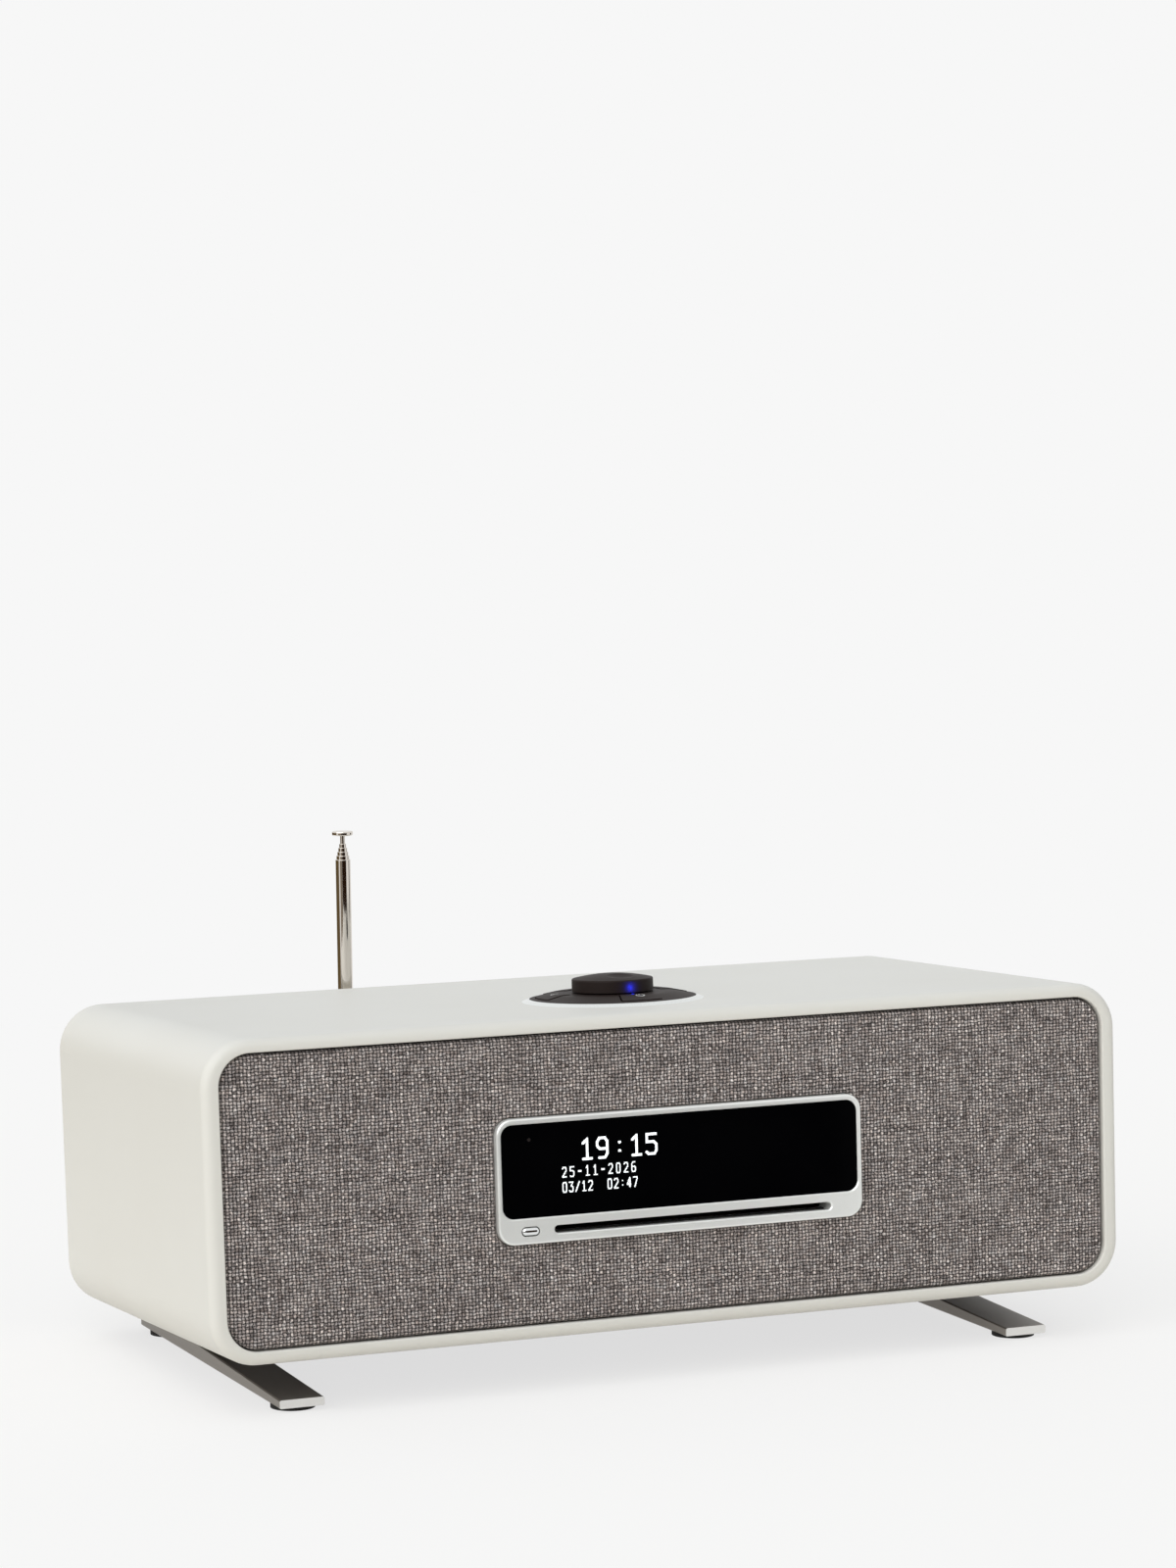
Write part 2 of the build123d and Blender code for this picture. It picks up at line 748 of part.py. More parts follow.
# Rear panel: closes the cabinet, with holes for its screws, the connectors and the aerial's socket
with BuildPart() as rear_panel:
    with BuildSketch(upright(rear_inner)):
        RectangleRounded(panel_width, panel_height, panel_corner)
        with GridLocations(screw_spread_x, screw_spread_z, 4, 2):
            Circle(rear_screw_radius + fit_gap, mode=Mode.SUBTRACT)
        with Locations((connector_x, connector_z)):
            Rectangle(
                connector_width - 2 * connector_border,
                connector_height - 2 * connector_border,
                mode=Mode.SUBTRACT,
            )
        with Locations((aerial_x, aerial_z)):
            Circle(socket_radius + running_gap, mode=Mode.SUBTRACT)
    extrude(amount=-rear_panel_thickness)
pieces["rear_panel"] = rear_panel

# Rear screws: round heads on the panel, shanks into the battens
with BuildPart() as rear_screws:
    with BuildSketch(upright(rear_face)):
        with GridLocations(screw_spread_x, screw_spread_z, 4, 2):
            Circle(screw_head_radius)
    extrude(amount=-screw_head_height)
    with BuildSketch(upright(rear_face)):
        with GridLocations(screw_spread_x, screw_spread_z, 4, 2):
            Circle(rear_screw_radius)
    extrude(amount=rear_screw_length)
pieces["rear_screws"] = rear_screws

# Connector plate: lies on the rear panel round the jacks
line_jack_places = [
    (connector_x - connector_width / 2 + line_jack_spacing, connector_z),
    (connector_x - connector_width / 2 + 2 * line_jack_spacing, connector_z),
]
phone_jack_place = (connector_x + phone_jack_offset, connector_z)
inlet_place = (connector_x + inlet_offset, connector_z)
connector_face = rear_face + connector_thickness
with BuildPart() as connector_plate:
    with BuildSketch(upright(rear_face)):
        with Locations((connector_x, connector_z)):
            RectangleRounded(connector_width, connector_height, connector_corner)
        with Locations(*line_jack_places):
            Circle(line_jack_radius + fit_gap, mode=Mode.SUBTRACT)
        with Locations(phone_jack_place):
            Circle(phone_jack_radius + fit_gap, mode=Mode.SUBTRACT)
        with Locations(inlet_place):
            Circle(inlet_radius + fit_gap, mode=Mode.SUBTRACT)
    extrude(amount=-connector_thickness)
pieces["connector_plate"] = connector_plate

# Jacks: each a square body behind the plate and a barrel that comes out through it
with BuildPart() as line_jacks:
    with BuildSketch(upright(rear_face - jack_depth)):
        with Locations(*line_jack_places):
            Rectangle(jack_body, jack_body)
    extrude(amount=-jack_depth)
    with BuildSketch(upright(rear_face)):
        with Locations(*line_jack_places):
            Circle(line_jack_radius - line_jack_neck_cut)
    extrude(amount=-(connector_thickness + line_jack_neck))
    with BuildSketch(upright(connector_face + line_jack_neck)):
        with Locations(*line_jack_places):
            Circle(line_jack_radius)
    extrude(amount=-(line_jack_reach - line_jack_neck))
    with BuildSketch(upright(connector_face + line_jack_reach)):
        with Locations(*line_jack_places):
            Circle(line_jack_bore)
    extrude(amount=jack_depth, mode=Mode.SUBTRACT)
pieces["line_jacks"] = line_jacks

with BuildPart() as headphone_jack:
    with BuildSketch(upright(rear_face - jack_depth)):
        with Locations(phone_jack_place):
            Rectangle(jack_body, jack_body)
    extrude(amount=-jack_depth)
    with BuildSketch(upright(rear_face)):
        with Locations(phone_jack_place):
            Circle(phone_jack_radius)
    extrude(amount=-(connector_thickness + phone_jack_reach))
    with BuildSketch(upright(connector_face + phone_jack_reach)):
        with Locations(phone_jack_place):
            Circle(phone_jack_bore)
    extrude(amount=jack_depth, mode=Mode.SUBTRACT)
pieces["headphone_jack"] = headphone_jack

with BuildPart() as power_inlet:
    with BuildSketch(upright(rear_face - jack_depth)):
        with Locations(inlet_place):
            Rectangle(jack_body, jack_body)
    extrude(amount=-jack_depth)
    with BuildSketch(upright(rear_face)):
        with Locations(inlet_place):
            Circle(inlet_radius)
    extrude(amount=-(connector_thickness + inlet_reach))
    with BuildSketch(upright(connector_face + inlet_reach)):
        with Locations(inlet_place):
            Circle(inlet_bore)
            Circle(inlet_pin, mode=Mode.SUBTRACT)
    extrude(amount=jack_body, mode=Mode.SUBTRACT)
pieces["power_inlet"] = power_inlet

# Main board: stands on four posts on the rear panel
main_board_y = rear_inner - post_length
with BuildPart() as main_board:
    with BuildSketch(upright(main_board_y - board_thickness)):
        with Locations((main_board_x, main_board_z)):
            Rectangle(main_board_width, main_board_height)
    extrude(amount=-board_thickness)
    with BuildSketch(upright(main_board_y)):
        with Locations((main_board_x, main_board_z)):
            with GridLocations(main_board_width - 2 * post_inset, main_board_height - 2 * post_inset, 2, 2):
                Circle(post_radius)
    extrude(amount=-post_length)
pieces["main_board"] = main_board

# Heat sink: a base on the main board with a row of upright fins
heat_sink_back = main_board_y - board_thickness
fin_pitch = (heat_sink_width - fin_thickness) / (fin_count - 1)
with BuildPart() as heat_sink:
    with BuildSketch(upright(heat_sink_back - heat_sink_base)):
        with Locations((main_board_x, main_board_z)):
            Rectangle(heat_sink_width, heat_sink_height)
    extrude(amount=-heat_sink_base)
    with BuildSketch(upright(heat_sink_back - heat_sink_depth)):
        with Locations((main_board_x, main_board_z)):
            with GridLocations(fin_pitch, heat_sink_height, fin_count, 1):
                Rectangle(fin_thickness, heat_sink_height)
    extrude(amount=-(heat_sink_depth - heat_sink_base))
pieces["heat_sink"] = heat_sink

# Control ring: a sloping silver band, a floor for the plate, and a skirt with a lip for the board
with BuildPart() as control_ring:
    with BuildSketch(upright(dial_y)):
        Polygon(
            (ring_radius, cabinet_top),
            (plate_radius + visible_gap, plate_edge),
            (plate_radius + fit_gap, plate_edge),
            (plate_radius + fit_gap, plate_floor),
            (skirt_inner, plate_floor),
            (skirt_inner, control_board_z),
            (skirt_inner - ring_lip, control_board_z),
            (skirt_inner - ring_lip, cabinet_top - ring_skirt_depth),
            (skirt_outer, cabinet_top - ring_skirt_depth),
            (skirt_outer, cabinet_top),
        )
    revolve(axis=dial_axis)
pieces["control_ring"] = control_ring

# The plate's section, from the hole for the knob's boss out to the ring, and the outline of one button
with BuildSketch(upright(dial_y)) as plate_section:
    Polygon(
        (plate_crown_radius, plate_crown),
        (plate_hole_radius, plate_crown),
        (plate_hole_radius, plate_floor),
        (plate_radius, plate_floor),
        (plate_radius, plate_edge),
    )
    fillet(plate_section.vertices().group_by(Axis.X)[1], plate_crown_round)
with BuildSketch(upright(dial_y)) as button_section:
    with Locations((0, button_proud)):
        add(plate_section.sketch_local)
with BuildSketch() as button_hole:
    with BuildLine():
        inner = CenterArc((0, 0), button_inner_radius, -button_half_angle, 2 * button_half_angle)
        outer = CenterArc((0, 0), button_outer_radius, -button_half_angle, 2 * button_half_angle)
        Line(inner @ 0, outer @ 0)
        Line(inner @ 1, outer @ 1)
    make_face()
    fillet(button_hole.vertices(), button_corner)
with BuildSketch() as button_face:
    add(button_hole.sketch)
    offset(amount=-button_gap, mode=Mode.REPLACE)
with BuildSketch() as button_foot:
    add(button_hole.sketch)
    offset(amount=button_flange, mode=Mode.REPLACE)

# Control plate: a shallow crown with a hole for each button and one for the lamp
button_angles = {
    "power_button": -90.0,
    "source_button": 6.0,
    "preset_button": 62.0,
    "menu_button": 118.0,
    "back_button": 174.0,
}
with BuildPart() as control_plate:
    add(plate_section.sketch)
    revolve(axis=dial_axis)
    for angle in button_angles.values():
        with BuildSketch(Plane.XY.offset(plate_floor)):
            with Locations((0, dial_y)):
                with PolarLocations(0, 1, start_angle=angle):
                    add(button_hole.sketch)
        extrude(amount=ring_height + plate_rise, mode=Mode.SUBTRACT)
    with BuildSketch(Plane.XY.offset(plate_floor)):
        with Locations((0, dial_y)):
            with PolarLocations(lamp_place_radius, 1, start_angle=lamp_angle):
                Circle(lamp_radius + fit_gap)
    extrude(amount=ring_height + plate_rise, mode=Mode.SUBTRACT)
pieces["control_plate"] = control_plate

# Sector buttons: pieces of the same crown, a little higher, each with a flange and a stem over its switch
flange_top = plate_floor - running_gap
button_base = plate_floor + button_proud
stem_bottom = control_board_top + switch_height + button_travel + fit_gap
for name, angle in button_angles.items():
    with BuildPart() as button:
        add(button_section.sketch)
        revolve(axis=dial_axis)
        with BuildSketch(Plane.XY.offset(button_base)):
            with Locations((0, dial_y)):
                with PolarLocations(0, 1, start_angle=angle):
                    add(button_face.sketch)
        extrude(amount=ring_height + plate_rise, mode=Mode.INTERSECT)
        with BuildSketch(Plane.XY.offset(button_base)):
            with Locations((0, dial_y)):
                with PolarLocations(0, 1, start_angle=angle):
                    add(button_face.sketch)
        extrude(amount=-(button_proud + running_gap + button_flange))
        with BuildSketch(Plane.XY.offset(flange_top)):
            with Locations((0, dial_y)):
                with PolarLocations(0, 1, start_angle=angle):
                    add(button_foot.sketch)
        extrude(amount=-button_flange)
        with BuildSketch(Plane.XY.offset(stem_bottom)):
            with Locations((0, dial_y)):
                with PolarLocations(button_radius, 1, start_angle=angle):
                    Circle(stem_radius)
        extrude(amount=flange_top - stem_bottom)
    pieces[name] = button

# Control board: a disc on the ring's lip, with a switch under each button
with BuildPart() as control_board:
    with BuildSketch(Plane.XY.offset(control_board_z)):
        with Locations((0, dial_y)):
            Circle(skirt_inner - fit_gap)
    extrude(amount=board_thickness)
    for angle in button_angles.values():
        with BuildSketch(Plane.XY.offset(control_board_top)):
            with Locations((0, dial_y)):
                with PolarLocations(button_radius, 1, start_angle=angle):
                    Rectangle(switch_size, switch_size)
        extrude(amount=switch_height)
pieces["control_board"] = control_board

# Encoder body: a block on the board, bored for the plunger
encoder_top = control_board_top + encoder_height
plunger_bottom = encoder_top + press_travel + visible_gap
with BuildPart() as encoder_body:
    with BuildSketch(Plane.XY.offset(control_board_top)):
        with Locations((0, dial_y)):
            Rectangle(encoder_size, encoder_size)
            Circle(plunger_spigot_radius + running_gap, mode=Mode.SUBTRACT)
    extrude(amount=encoder_height)
pieces["encoder_body"] = encoder_body

# Encoder plunger: goes down with the knob but doesn't turn
plunger_top = plunger_bottom + plunger_thickness
with BuildPart() as encoder_plunger:
    with BuildSketch(Plane.XY.offset(plunger_bottom)):
        with Locations((0, dial_y)):
            Circle(plunger_radius)
    extrude(amount=plunger_thickness)
    with BuildSketch(Plane.XY.offset(plunger_bottom)):
        with Locations((0, dial_y)):
            Circle(plunger_spigot_radius)
    extrude(amount=-plunger_spigot_length)
pieces["encoder_plunger"] = encoder_plunger

# Encoder shaft: stands on the plunger and turns with the knob
shaft_bottom = plunger_top + running_gap
with BuildPart() as encoder_shaft:
    with BuildSketch(Plane.XY.offset(shaft_bottom)):
        with Locations((0, dial_y)):
            Circle(shaft_radius)
    extrude(amount=shaft_length)
pieces["encoder_shaft"] = encoder_shaft

# Dial knob: a drum with a domed top, hollow underneath round its boss, with a finger dimple to turn it by
knob_bottom = plate_crown + knob_gap
knob_rim = knob_bottom + knob_wall_height
knob_top = knob_rim + knob_dome
knob_boss_bottom = knob_bottom - knob_boss_drop
hollow_top = knob_bottom + knob_hollow
bore_radius = shaft_radius + running_gap
bore_top = shaft_bottom + shaft_length + fit_gap
dome_sphere = bowl_sphere(knob_radius, knob_dome)
dome_centre = knob_top - dome_sphere
dimple_sphere = bowl_sphere(dimple_radius, dimple_depth)
dimple_tilt = radians(bowl_angle(dimple_place, dome_sphere))
dimple_reach = dome_sphere + dimple_sphere - dimple_depth
dimple_y = dial_y - dimple_reach * sin(dimple_tilt)
dimple_z = dome_centre + dimple_reach * cos(dimple_tilt)
with BuildPart() as dial_knob:
    with BuildSketch(upright(dial_y)) as knob_section:
        with BuildLine():
            CenterArc((0, dome_centre), dome_sphere, 90, -bowl_angle(knob_radius, dome_sphere))
            Polyline(
                (0, knob_top),
                (0, bore_top),
                (bore_radius, bore_top),
                (bore_radius, knob_boss_bottom),
                (knob_boss_radius, knob_boss_bottom),
                (knob_boss_radius, hollow_top),
                (knob_radius - knob_skirt, hollow_top),
                (knob_radius - knob_skirt, knob_bottom),
                (knob_radius, knob_bottom),
                (knob_radius, knob_rim),
            )
        make_face()
        fillet(knob_section.vertices().group_by(Axis.X)[-1].sort_by(Axis.Y)[-1], knob_rim_round)
    revolve(axis=dial_axis)
    with Locations((0, dimple_y, dimple_z)):
        Sphere(dimple_sphere, mode=Mode.SUBTRACT)
pieces["dial_knob"] = dial_knob

# Power lamp: a light pipe that ends in the plate beside the knob
lamp_top = plate_crown + lamp_proud
with BuildPart() as power_lamp:
    with BuildSketch(Plane.XY.offset(lamp_top - lamp_length)):
        with Locations((0, dial_y)):
            with PolarLocations(lamp_place_radius, 1, start_angle=lamp_angle):
                Circle(lamp_radius)
    extrude(amount=lamp_length)
pieces["power_lamp"] = power_lamp


# The height of the cabinet's underside above the ground, at a distance back from its front
def underside(back):
    return front_clearance - back * tan(radians(lean_angle))


# Feet: tapering runners that stand level, each with a raised seat under the rear of the cabinet
tip_top = pad_thickness + foot_tip_thickness
knee_top = tip_top + (foot_knee - foot_tip) * tan(radians(foot_taper))
seat_underside = -cabinet_height / 2 - foot_seat_thickness
for side, centre_x in (("left", -foot_x), ("right", foot_x)):
    foot_origin = ground_origin + Vector(centre_x - foot_width / 2, 0, 0)
    foot_plane = Plane(origin=foot_origin, x_dir=ground_back, z_dir=(1, 0, 0))
    with BuildPart() as foot:
        with BuildSketch(foot_plane):
            Polygon(
                (foot_tip, pad_thickness),
                (foot_rear, pad_thickness),
                (foot_rear, underside(foot_rear)),
                (foot_seat_start, underside(foot_seat_start)),
                (foot_knee, knee_top),
                (foot_tip, tip_top),
            )
        extrude(amount=foot_width)
        long_edges = foot.faces().filter_by(Axis.X).edges()
        chamfer(long_edges.filter_by(lambda edge: edge.length > foot_width), foot_edge)
        with BuildSketch(Plane.XY.offset(-cabinet_height / 2)):
            with Locations((centre_x, foot_screw_first), (centre_x, rear_pad_place)):
                Circle(foot_screw_radius + visible_gap)
        extrude(amount=-front_clearance, mode=Mode.SUBTRACT)
        with BuildSketch(Plane.XY.offset(seat_underside)):
            with Locations((centre_x, foot_screw_first), (centre_x, rear_pad_place)):
                Circle(foot_screw_head_radius + visible_gap)
        extrude(amount=-front_clearance, mode=Mode.SUBTRACT)
    pieces[f"{side}_foot"] = foot

# Foot pads: rubber discs that the radio stands on
with BuildPart() as foot_pads:
    with BuildSketch(ground):
        with Locations((0, (front_pad_place + rear_pad_place) / 2)):
            with GridLocations(2 * foot_x, rear_pad_place - front_pad_place, 2, 2):
                Circle(pad_radius)
    extrude(amount=pad_thickness)
pieces["foot_pads"] = foot_pads

# Foot screws: up through each seat into the cabinet's floor
with BuildPart() as foot_screws:
    with BuildSketch(Plane.XY.offset(seat_underside)):
        with Locations(*foot_screw_places):
            Circle(foot_screw_head_radius)
    extrude(amount=-foot_screw_head_height)
    with BuildSketch(Plane.XY.offset(seat_underside)):
        with Locations(*foot_screw_places):
            Circle(foot_screw_radius)
    extrude(amount=foot_seat_thickness + foot_screw_bite - fit_gap)
pieces["foot_screws"] = foot_screws

# Aerial socket: a barrel through the rear panel, with a flange inside
socket_end = rear_face + socket_reach
with BuildPart() as aerial_socket:
    with BuildSketch(upright(rear_inner - socket_flange)):
        with Locations((aerial_x, aerial_z)):
            Circle(socket_flange_radius)
    extrude(amount=-socket_flange)
    with BuildSketch(upright(rear_inner)):
        with Locations((aerial_x, aerial_z)):
            Circle(socket_radius)
    extrude(amount=-(rear_panel_thickness + socket_reach))
pieces["aerial_socket"] = aerial_socket

# Aerial collar: a nut on the socket, with a web that holds the swivel's head
collar_front = rear_face + collar_stand_off
collar_end = collar_front + collar_length
with BuildPart() as aerial_collar:
    with BuildSketch(upright(collar_front)):
        with Locations((aerial_x, aerial_z)):
            Circle(collar_radius)
            Circle(socket_radius + running_gap, mode=Mode.SUBTRACT)
    extrude(amount=-(collar_length - collar_web))
    with BuildSketch(upright(collar_end - collar_web)):
        with Locations((aerial_x, aerial_z)):
            Circle(collar_radius)
            Circle(swivel_neck_radius + running_gap, mode=Mode.SUBTRACT)
    extrude(amount=-collar_web)
pieces["aerial_collar"] = aerial_collar

# Aerial swivel: a headed neck that turns in the collar and ends in a fork
fork_front = collar_end + visible_gap
head_back = collar_end - collar_web - fit_gap
with BuildPart() as aerial_swivel:
    with BuildSketch(upright(head_back - swivel_head)):
        with Locations((aerial_x, aerial_z)):
            Circle(swivel_head_radius)
    extrude(amount=-swivel_head)
    with BuildSketch(upright(head_back)):
        with Locations((aerial_x, aerial_z)):
            Circle(swivel_neck_radius)
    extrude(amount=-(fork_front - head_back))
    with BuildSketch(sideways(aerial_x - fork_half_width)):
        with Locations((fork_front + fork_reach / 2, aerial_z)):
            Rectangle(fork_reach, 2 * fork_radius)
        with Locations((aerial_pivot_y, aerial_z)):
            Circle(fork_radius)
    extrude(amount=2 * fork_half_width)
    with BuildSketch(sideways(aerial_x - fork_slot_half)):
        with Locations((fork_front + fork_web, aerial_z)):
            Rectangle(2 * fork_reach, 4 * fork_radius, align=(Align.MIN, Align.CENTER))
    extrude(amount=2 * fork_slot_half, mode=Mode.SUBTRACT)
    with BuildSketch(sideways(aerial_x - fork_half_width)):
        with Locations((aerial_pivot_y, aerial_z)):
            Circle(pin_radius + running_gap)
    extrude(amount=2 * fork_half_width, mode=Mode.SUBTRACT)
pieces["aerial_swivel"] = aerial_swivel

# Aerial pin: through both ears of the fork, with a head outside each
with BuildPart() as aerial_pin:
    with BuildSketch(sideways(aerial_x - fork_half_width - pin_head)):
        with Locations((aerial_pivot_y, aerial_z)):
            Circle(pin_radius)
    extrude(amount=2 * (fork_half_width + pin_head))
    for start in (aerial_x - fork_half_width - pin_head, aerial_x + fork_half_width):
        with BuildSketch(sideways(start)):
            with Locations((aerial_pivot_y, aerial_z)):
                Circle(pin_head_radius)
        extrude(amount=pin_head)
pieces["aerial_pin"] = aerial_pin


# The outer radius of a section of the aerial, counted from the thickest
def section_radius(index):
    return tube_radius - index * tube_step


# The height of a section's top above the pivot, in a cone of rings while it is pushed in
def section_top(index):
    return tube_top + index * tube_ring_step


# Aerial tube: a flat lug on the pin, and the thickest tube of the aerial above it
lug_plane = Plane(origin=aerial_pivot - Vector(lug_half_width, 0, 0), x_dir=ground_back, z_dir=(1, 0, 0))
with BuildPart() as aerial_tube:
    with BuildSketch(lug_plane):
        Circle(lug_radius)
        with Locations((0, lug_height / 2)):
            Rectangle(2 * tube_radius, lug_height)
        Circle(pin_radius + running_gap, mode=Mode.SUBTRACT)
    extrude(amount=2 * lug_half_width)
    with BuildSketch(aerial_plane.offset(lug_height)):
        Circle(tube_radius)
    extrude(amount=tube_top - lug_height)
    fillet(aerial_tube.faces().sort_by(Axis.Z)[-1].edges(), tube_edge)
    with BuildSketch(aerial_plane.offset(tube_floor)):
        Circle(tube_radius - tube_wall)
    extrude(amount=tube_top - tube_floor - tube_lip, mode=Mode.SUBTRACT)
    with BuildSketch(aerial_plane.offset(tube_floor)):
        Circle(section_radius(1) + running_gap)
    extrude(amount=tube_top - tube_floor, mode=Mode.SUBTRACT)
pieces["aerial_tube"] = aerial_tube

# Aerial sections: thinner tubes that slide in each other, each with a bush at its foot and a lip at its top
section_bottom = tube_floor + section_floor_gap
for index in range(1, section_count):
    radius = section_radius(index)
    top = section_top(index)
    next_radius = section_radius(index + 1)
    with BuildPart() as section:
        with BuildSketch(aerial_plane.offset(section_bottom)):
            Circle(radius)
        extrude(amount=top - section_bottom)
        fillet(section.faces().sort_by(Axis.Z)[-1].edges(), tube_edge)
        with BuildSketch(aerial_plane.offset(section_bottom)):
            Circle(section_radius(index - 1) - tube_wall - running_gap)
        extrude(amount=tube_bush)
        with BuildSketch(aerial_plane.offset(section_bottom)):
            Circle(radius - tube_wall)
        extrude(amount=top - section_bottom - tube_lip, mode=Mode.SUBTRACT)
        with BuildSketch(aerial_plane.offset(section_bottom)):
            Circle(next_radius + running_gap)
        extrude(amount=top - section_bottom, mode=Mode.SUBTRACT)
    pieces[f"aerial_section_{index + 1}"] = section

# Aerial rod: the solid tip of the aerial, with its bush and a round cap
rod_top = section_top(section_count - 1) + cap_stand_off
with BuildPart() as aerial_rod:
    with BuildSketch(aerial_plane.offset(rod_top)):
        Circle(cap_radius)
    extrude(amount=cap_height)
    fillet(aerial_rod.edges(), cap_edge)
    with BuildSketch(aerial_plane.offset(section_bottom)):
        Circle(section_radius(section_count))
    extrude(amount=rod_top - section_bottom)
    with BuildSketch(aerial_plane.offset(section_bottom)):
        Circle(section_radius(section_count - 1) - tube_wall - running_gap)
    extrude(amount=tube_bush)
pieces["aerial_rod"] = aerial_rod

# Standing frame: level on the ground, with its origin under the middle of the whole radio's box
boxes = [ground.to_local_coords(piece.part).bounding_box() for piece in pieces.values()]
middle_y = (min(box.min.Y for box in boxes) + max(box.max.Y for box in boxes)) / 2
stand = Plane(origin=ground_origin + ground_back * middle_y, x_dir=(1, 0, 0), z_dir=ground_up)

if __name__ == "__main__":
    os.makedirs("parts", exist_ok=True)
    for name, piece in pieces.items():
        standing = stand.to_local_coords(piece.part)
        standing.label = name
        export_step(standing, f"parts/{name}.step")
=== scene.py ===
import json
import math
import random

import bmesh
import bpy
from mathutils import Matrix, Vector, geometry, noise

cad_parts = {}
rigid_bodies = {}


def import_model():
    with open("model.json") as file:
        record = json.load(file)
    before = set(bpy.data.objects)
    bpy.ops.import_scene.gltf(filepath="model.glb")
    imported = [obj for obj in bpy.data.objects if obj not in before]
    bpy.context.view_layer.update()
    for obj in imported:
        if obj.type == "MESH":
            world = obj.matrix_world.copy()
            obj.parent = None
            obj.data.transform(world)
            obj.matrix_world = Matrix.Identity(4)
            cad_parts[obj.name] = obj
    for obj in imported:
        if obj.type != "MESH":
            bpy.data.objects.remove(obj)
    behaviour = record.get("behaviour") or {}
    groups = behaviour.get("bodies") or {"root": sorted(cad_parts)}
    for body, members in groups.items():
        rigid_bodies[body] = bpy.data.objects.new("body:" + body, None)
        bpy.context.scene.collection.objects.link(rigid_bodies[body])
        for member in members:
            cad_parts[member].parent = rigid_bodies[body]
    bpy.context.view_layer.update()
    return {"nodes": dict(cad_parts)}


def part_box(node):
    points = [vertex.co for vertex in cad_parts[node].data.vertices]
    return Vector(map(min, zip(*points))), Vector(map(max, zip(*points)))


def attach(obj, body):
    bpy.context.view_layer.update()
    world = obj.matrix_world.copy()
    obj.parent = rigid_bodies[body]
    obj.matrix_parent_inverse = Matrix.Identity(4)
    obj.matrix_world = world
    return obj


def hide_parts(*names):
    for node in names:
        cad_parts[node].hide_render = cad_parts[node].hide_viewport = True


for leftover in list(bpy.data.objects):  # the startup cube, lamp and camera
    bpy.data.objects.remove(leftover)
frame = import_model()
nodes = frame["nodes"]
scene = bpy.context.scene
draws = random.Random(11)  # seeded, so every run draws the same
print("frame loaded:", len(nodes), "nodes")

# New pieces are drawn in mm, square to the cabinet: x right, y back from the lip, z up from mid height.
# toRow leans them back with it, onto its feet, and turns mm to metres.
cabinet = {"lean": 2.72, "footing": (0.0, 1.09621, -90.07398), "footTip": 10.3}
boxMiddle = cabinet["footTip"] - 1000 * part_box("left_foot")[0][1]  # how far back the frame's origin is
toRow = (
    Matrix.Scale(0.001, 4)
    @ Matrix.Translation((0, -boxMiddle, 0))
    @ Matrix.Rotation(-math.radians(cabinet["lean"]), 4, "X")
    @ Matrix.Translation(-Vector(cabinet["footing"]))
)
facingFront = Matrix.Rotation(math.radians(90), 4, "X")  # a flat drawing, stood up to face the front


def linear(hexColour, alpha=1.0):  # sRGB hex to the linear colour that sockets take
    parts = [int(hexColour[i:i + 2], 16) / 255 for i in (1, 3, 5)]
    return [p / 12.92 if p <= 0.04045 else ((p + 0.055) / 1.055) ** 2.4 for p in parts] + [alpha]


def perMetre(millimetres):  # a noise scale whose features are about this wide
    return 1000.0 / millimetres


def addNode(tree, kind, inputs=None, **settings):
    node = tree.nodes.new(kind)
    for name, value in settings.items():
        setattr(node, name, value)
    for name, value in (inputs or {}).items():
        if isinstance(value, bpy.types.NodeSocket):
            tree.links.new(value, node.inputs[name])
        else:
            node.inputs[name].default_value = value
    return node


def startMaterial(name, surface):
    material = bpy.data.materials.new(name)
    material.use_nodes = True
    shader = material.node_tree.nodes["Principled BSDF"]
    for socket, value in surface.items():
        shader.inputs[socket].default_value = value
    return material, material.node_tree, shader


# A finish with a grain: two close colours, a roughness that wanders with handling, and a fine bump.
# Noise keeps mostly between low and high, so the colours and the roughness are spread over that.
grainLook = {"low": 0.3, "high": 0.7, "fineDetail": 3.0, "broadDetail": 4.0, "broadShare": 0.4, "relief": 0.6}


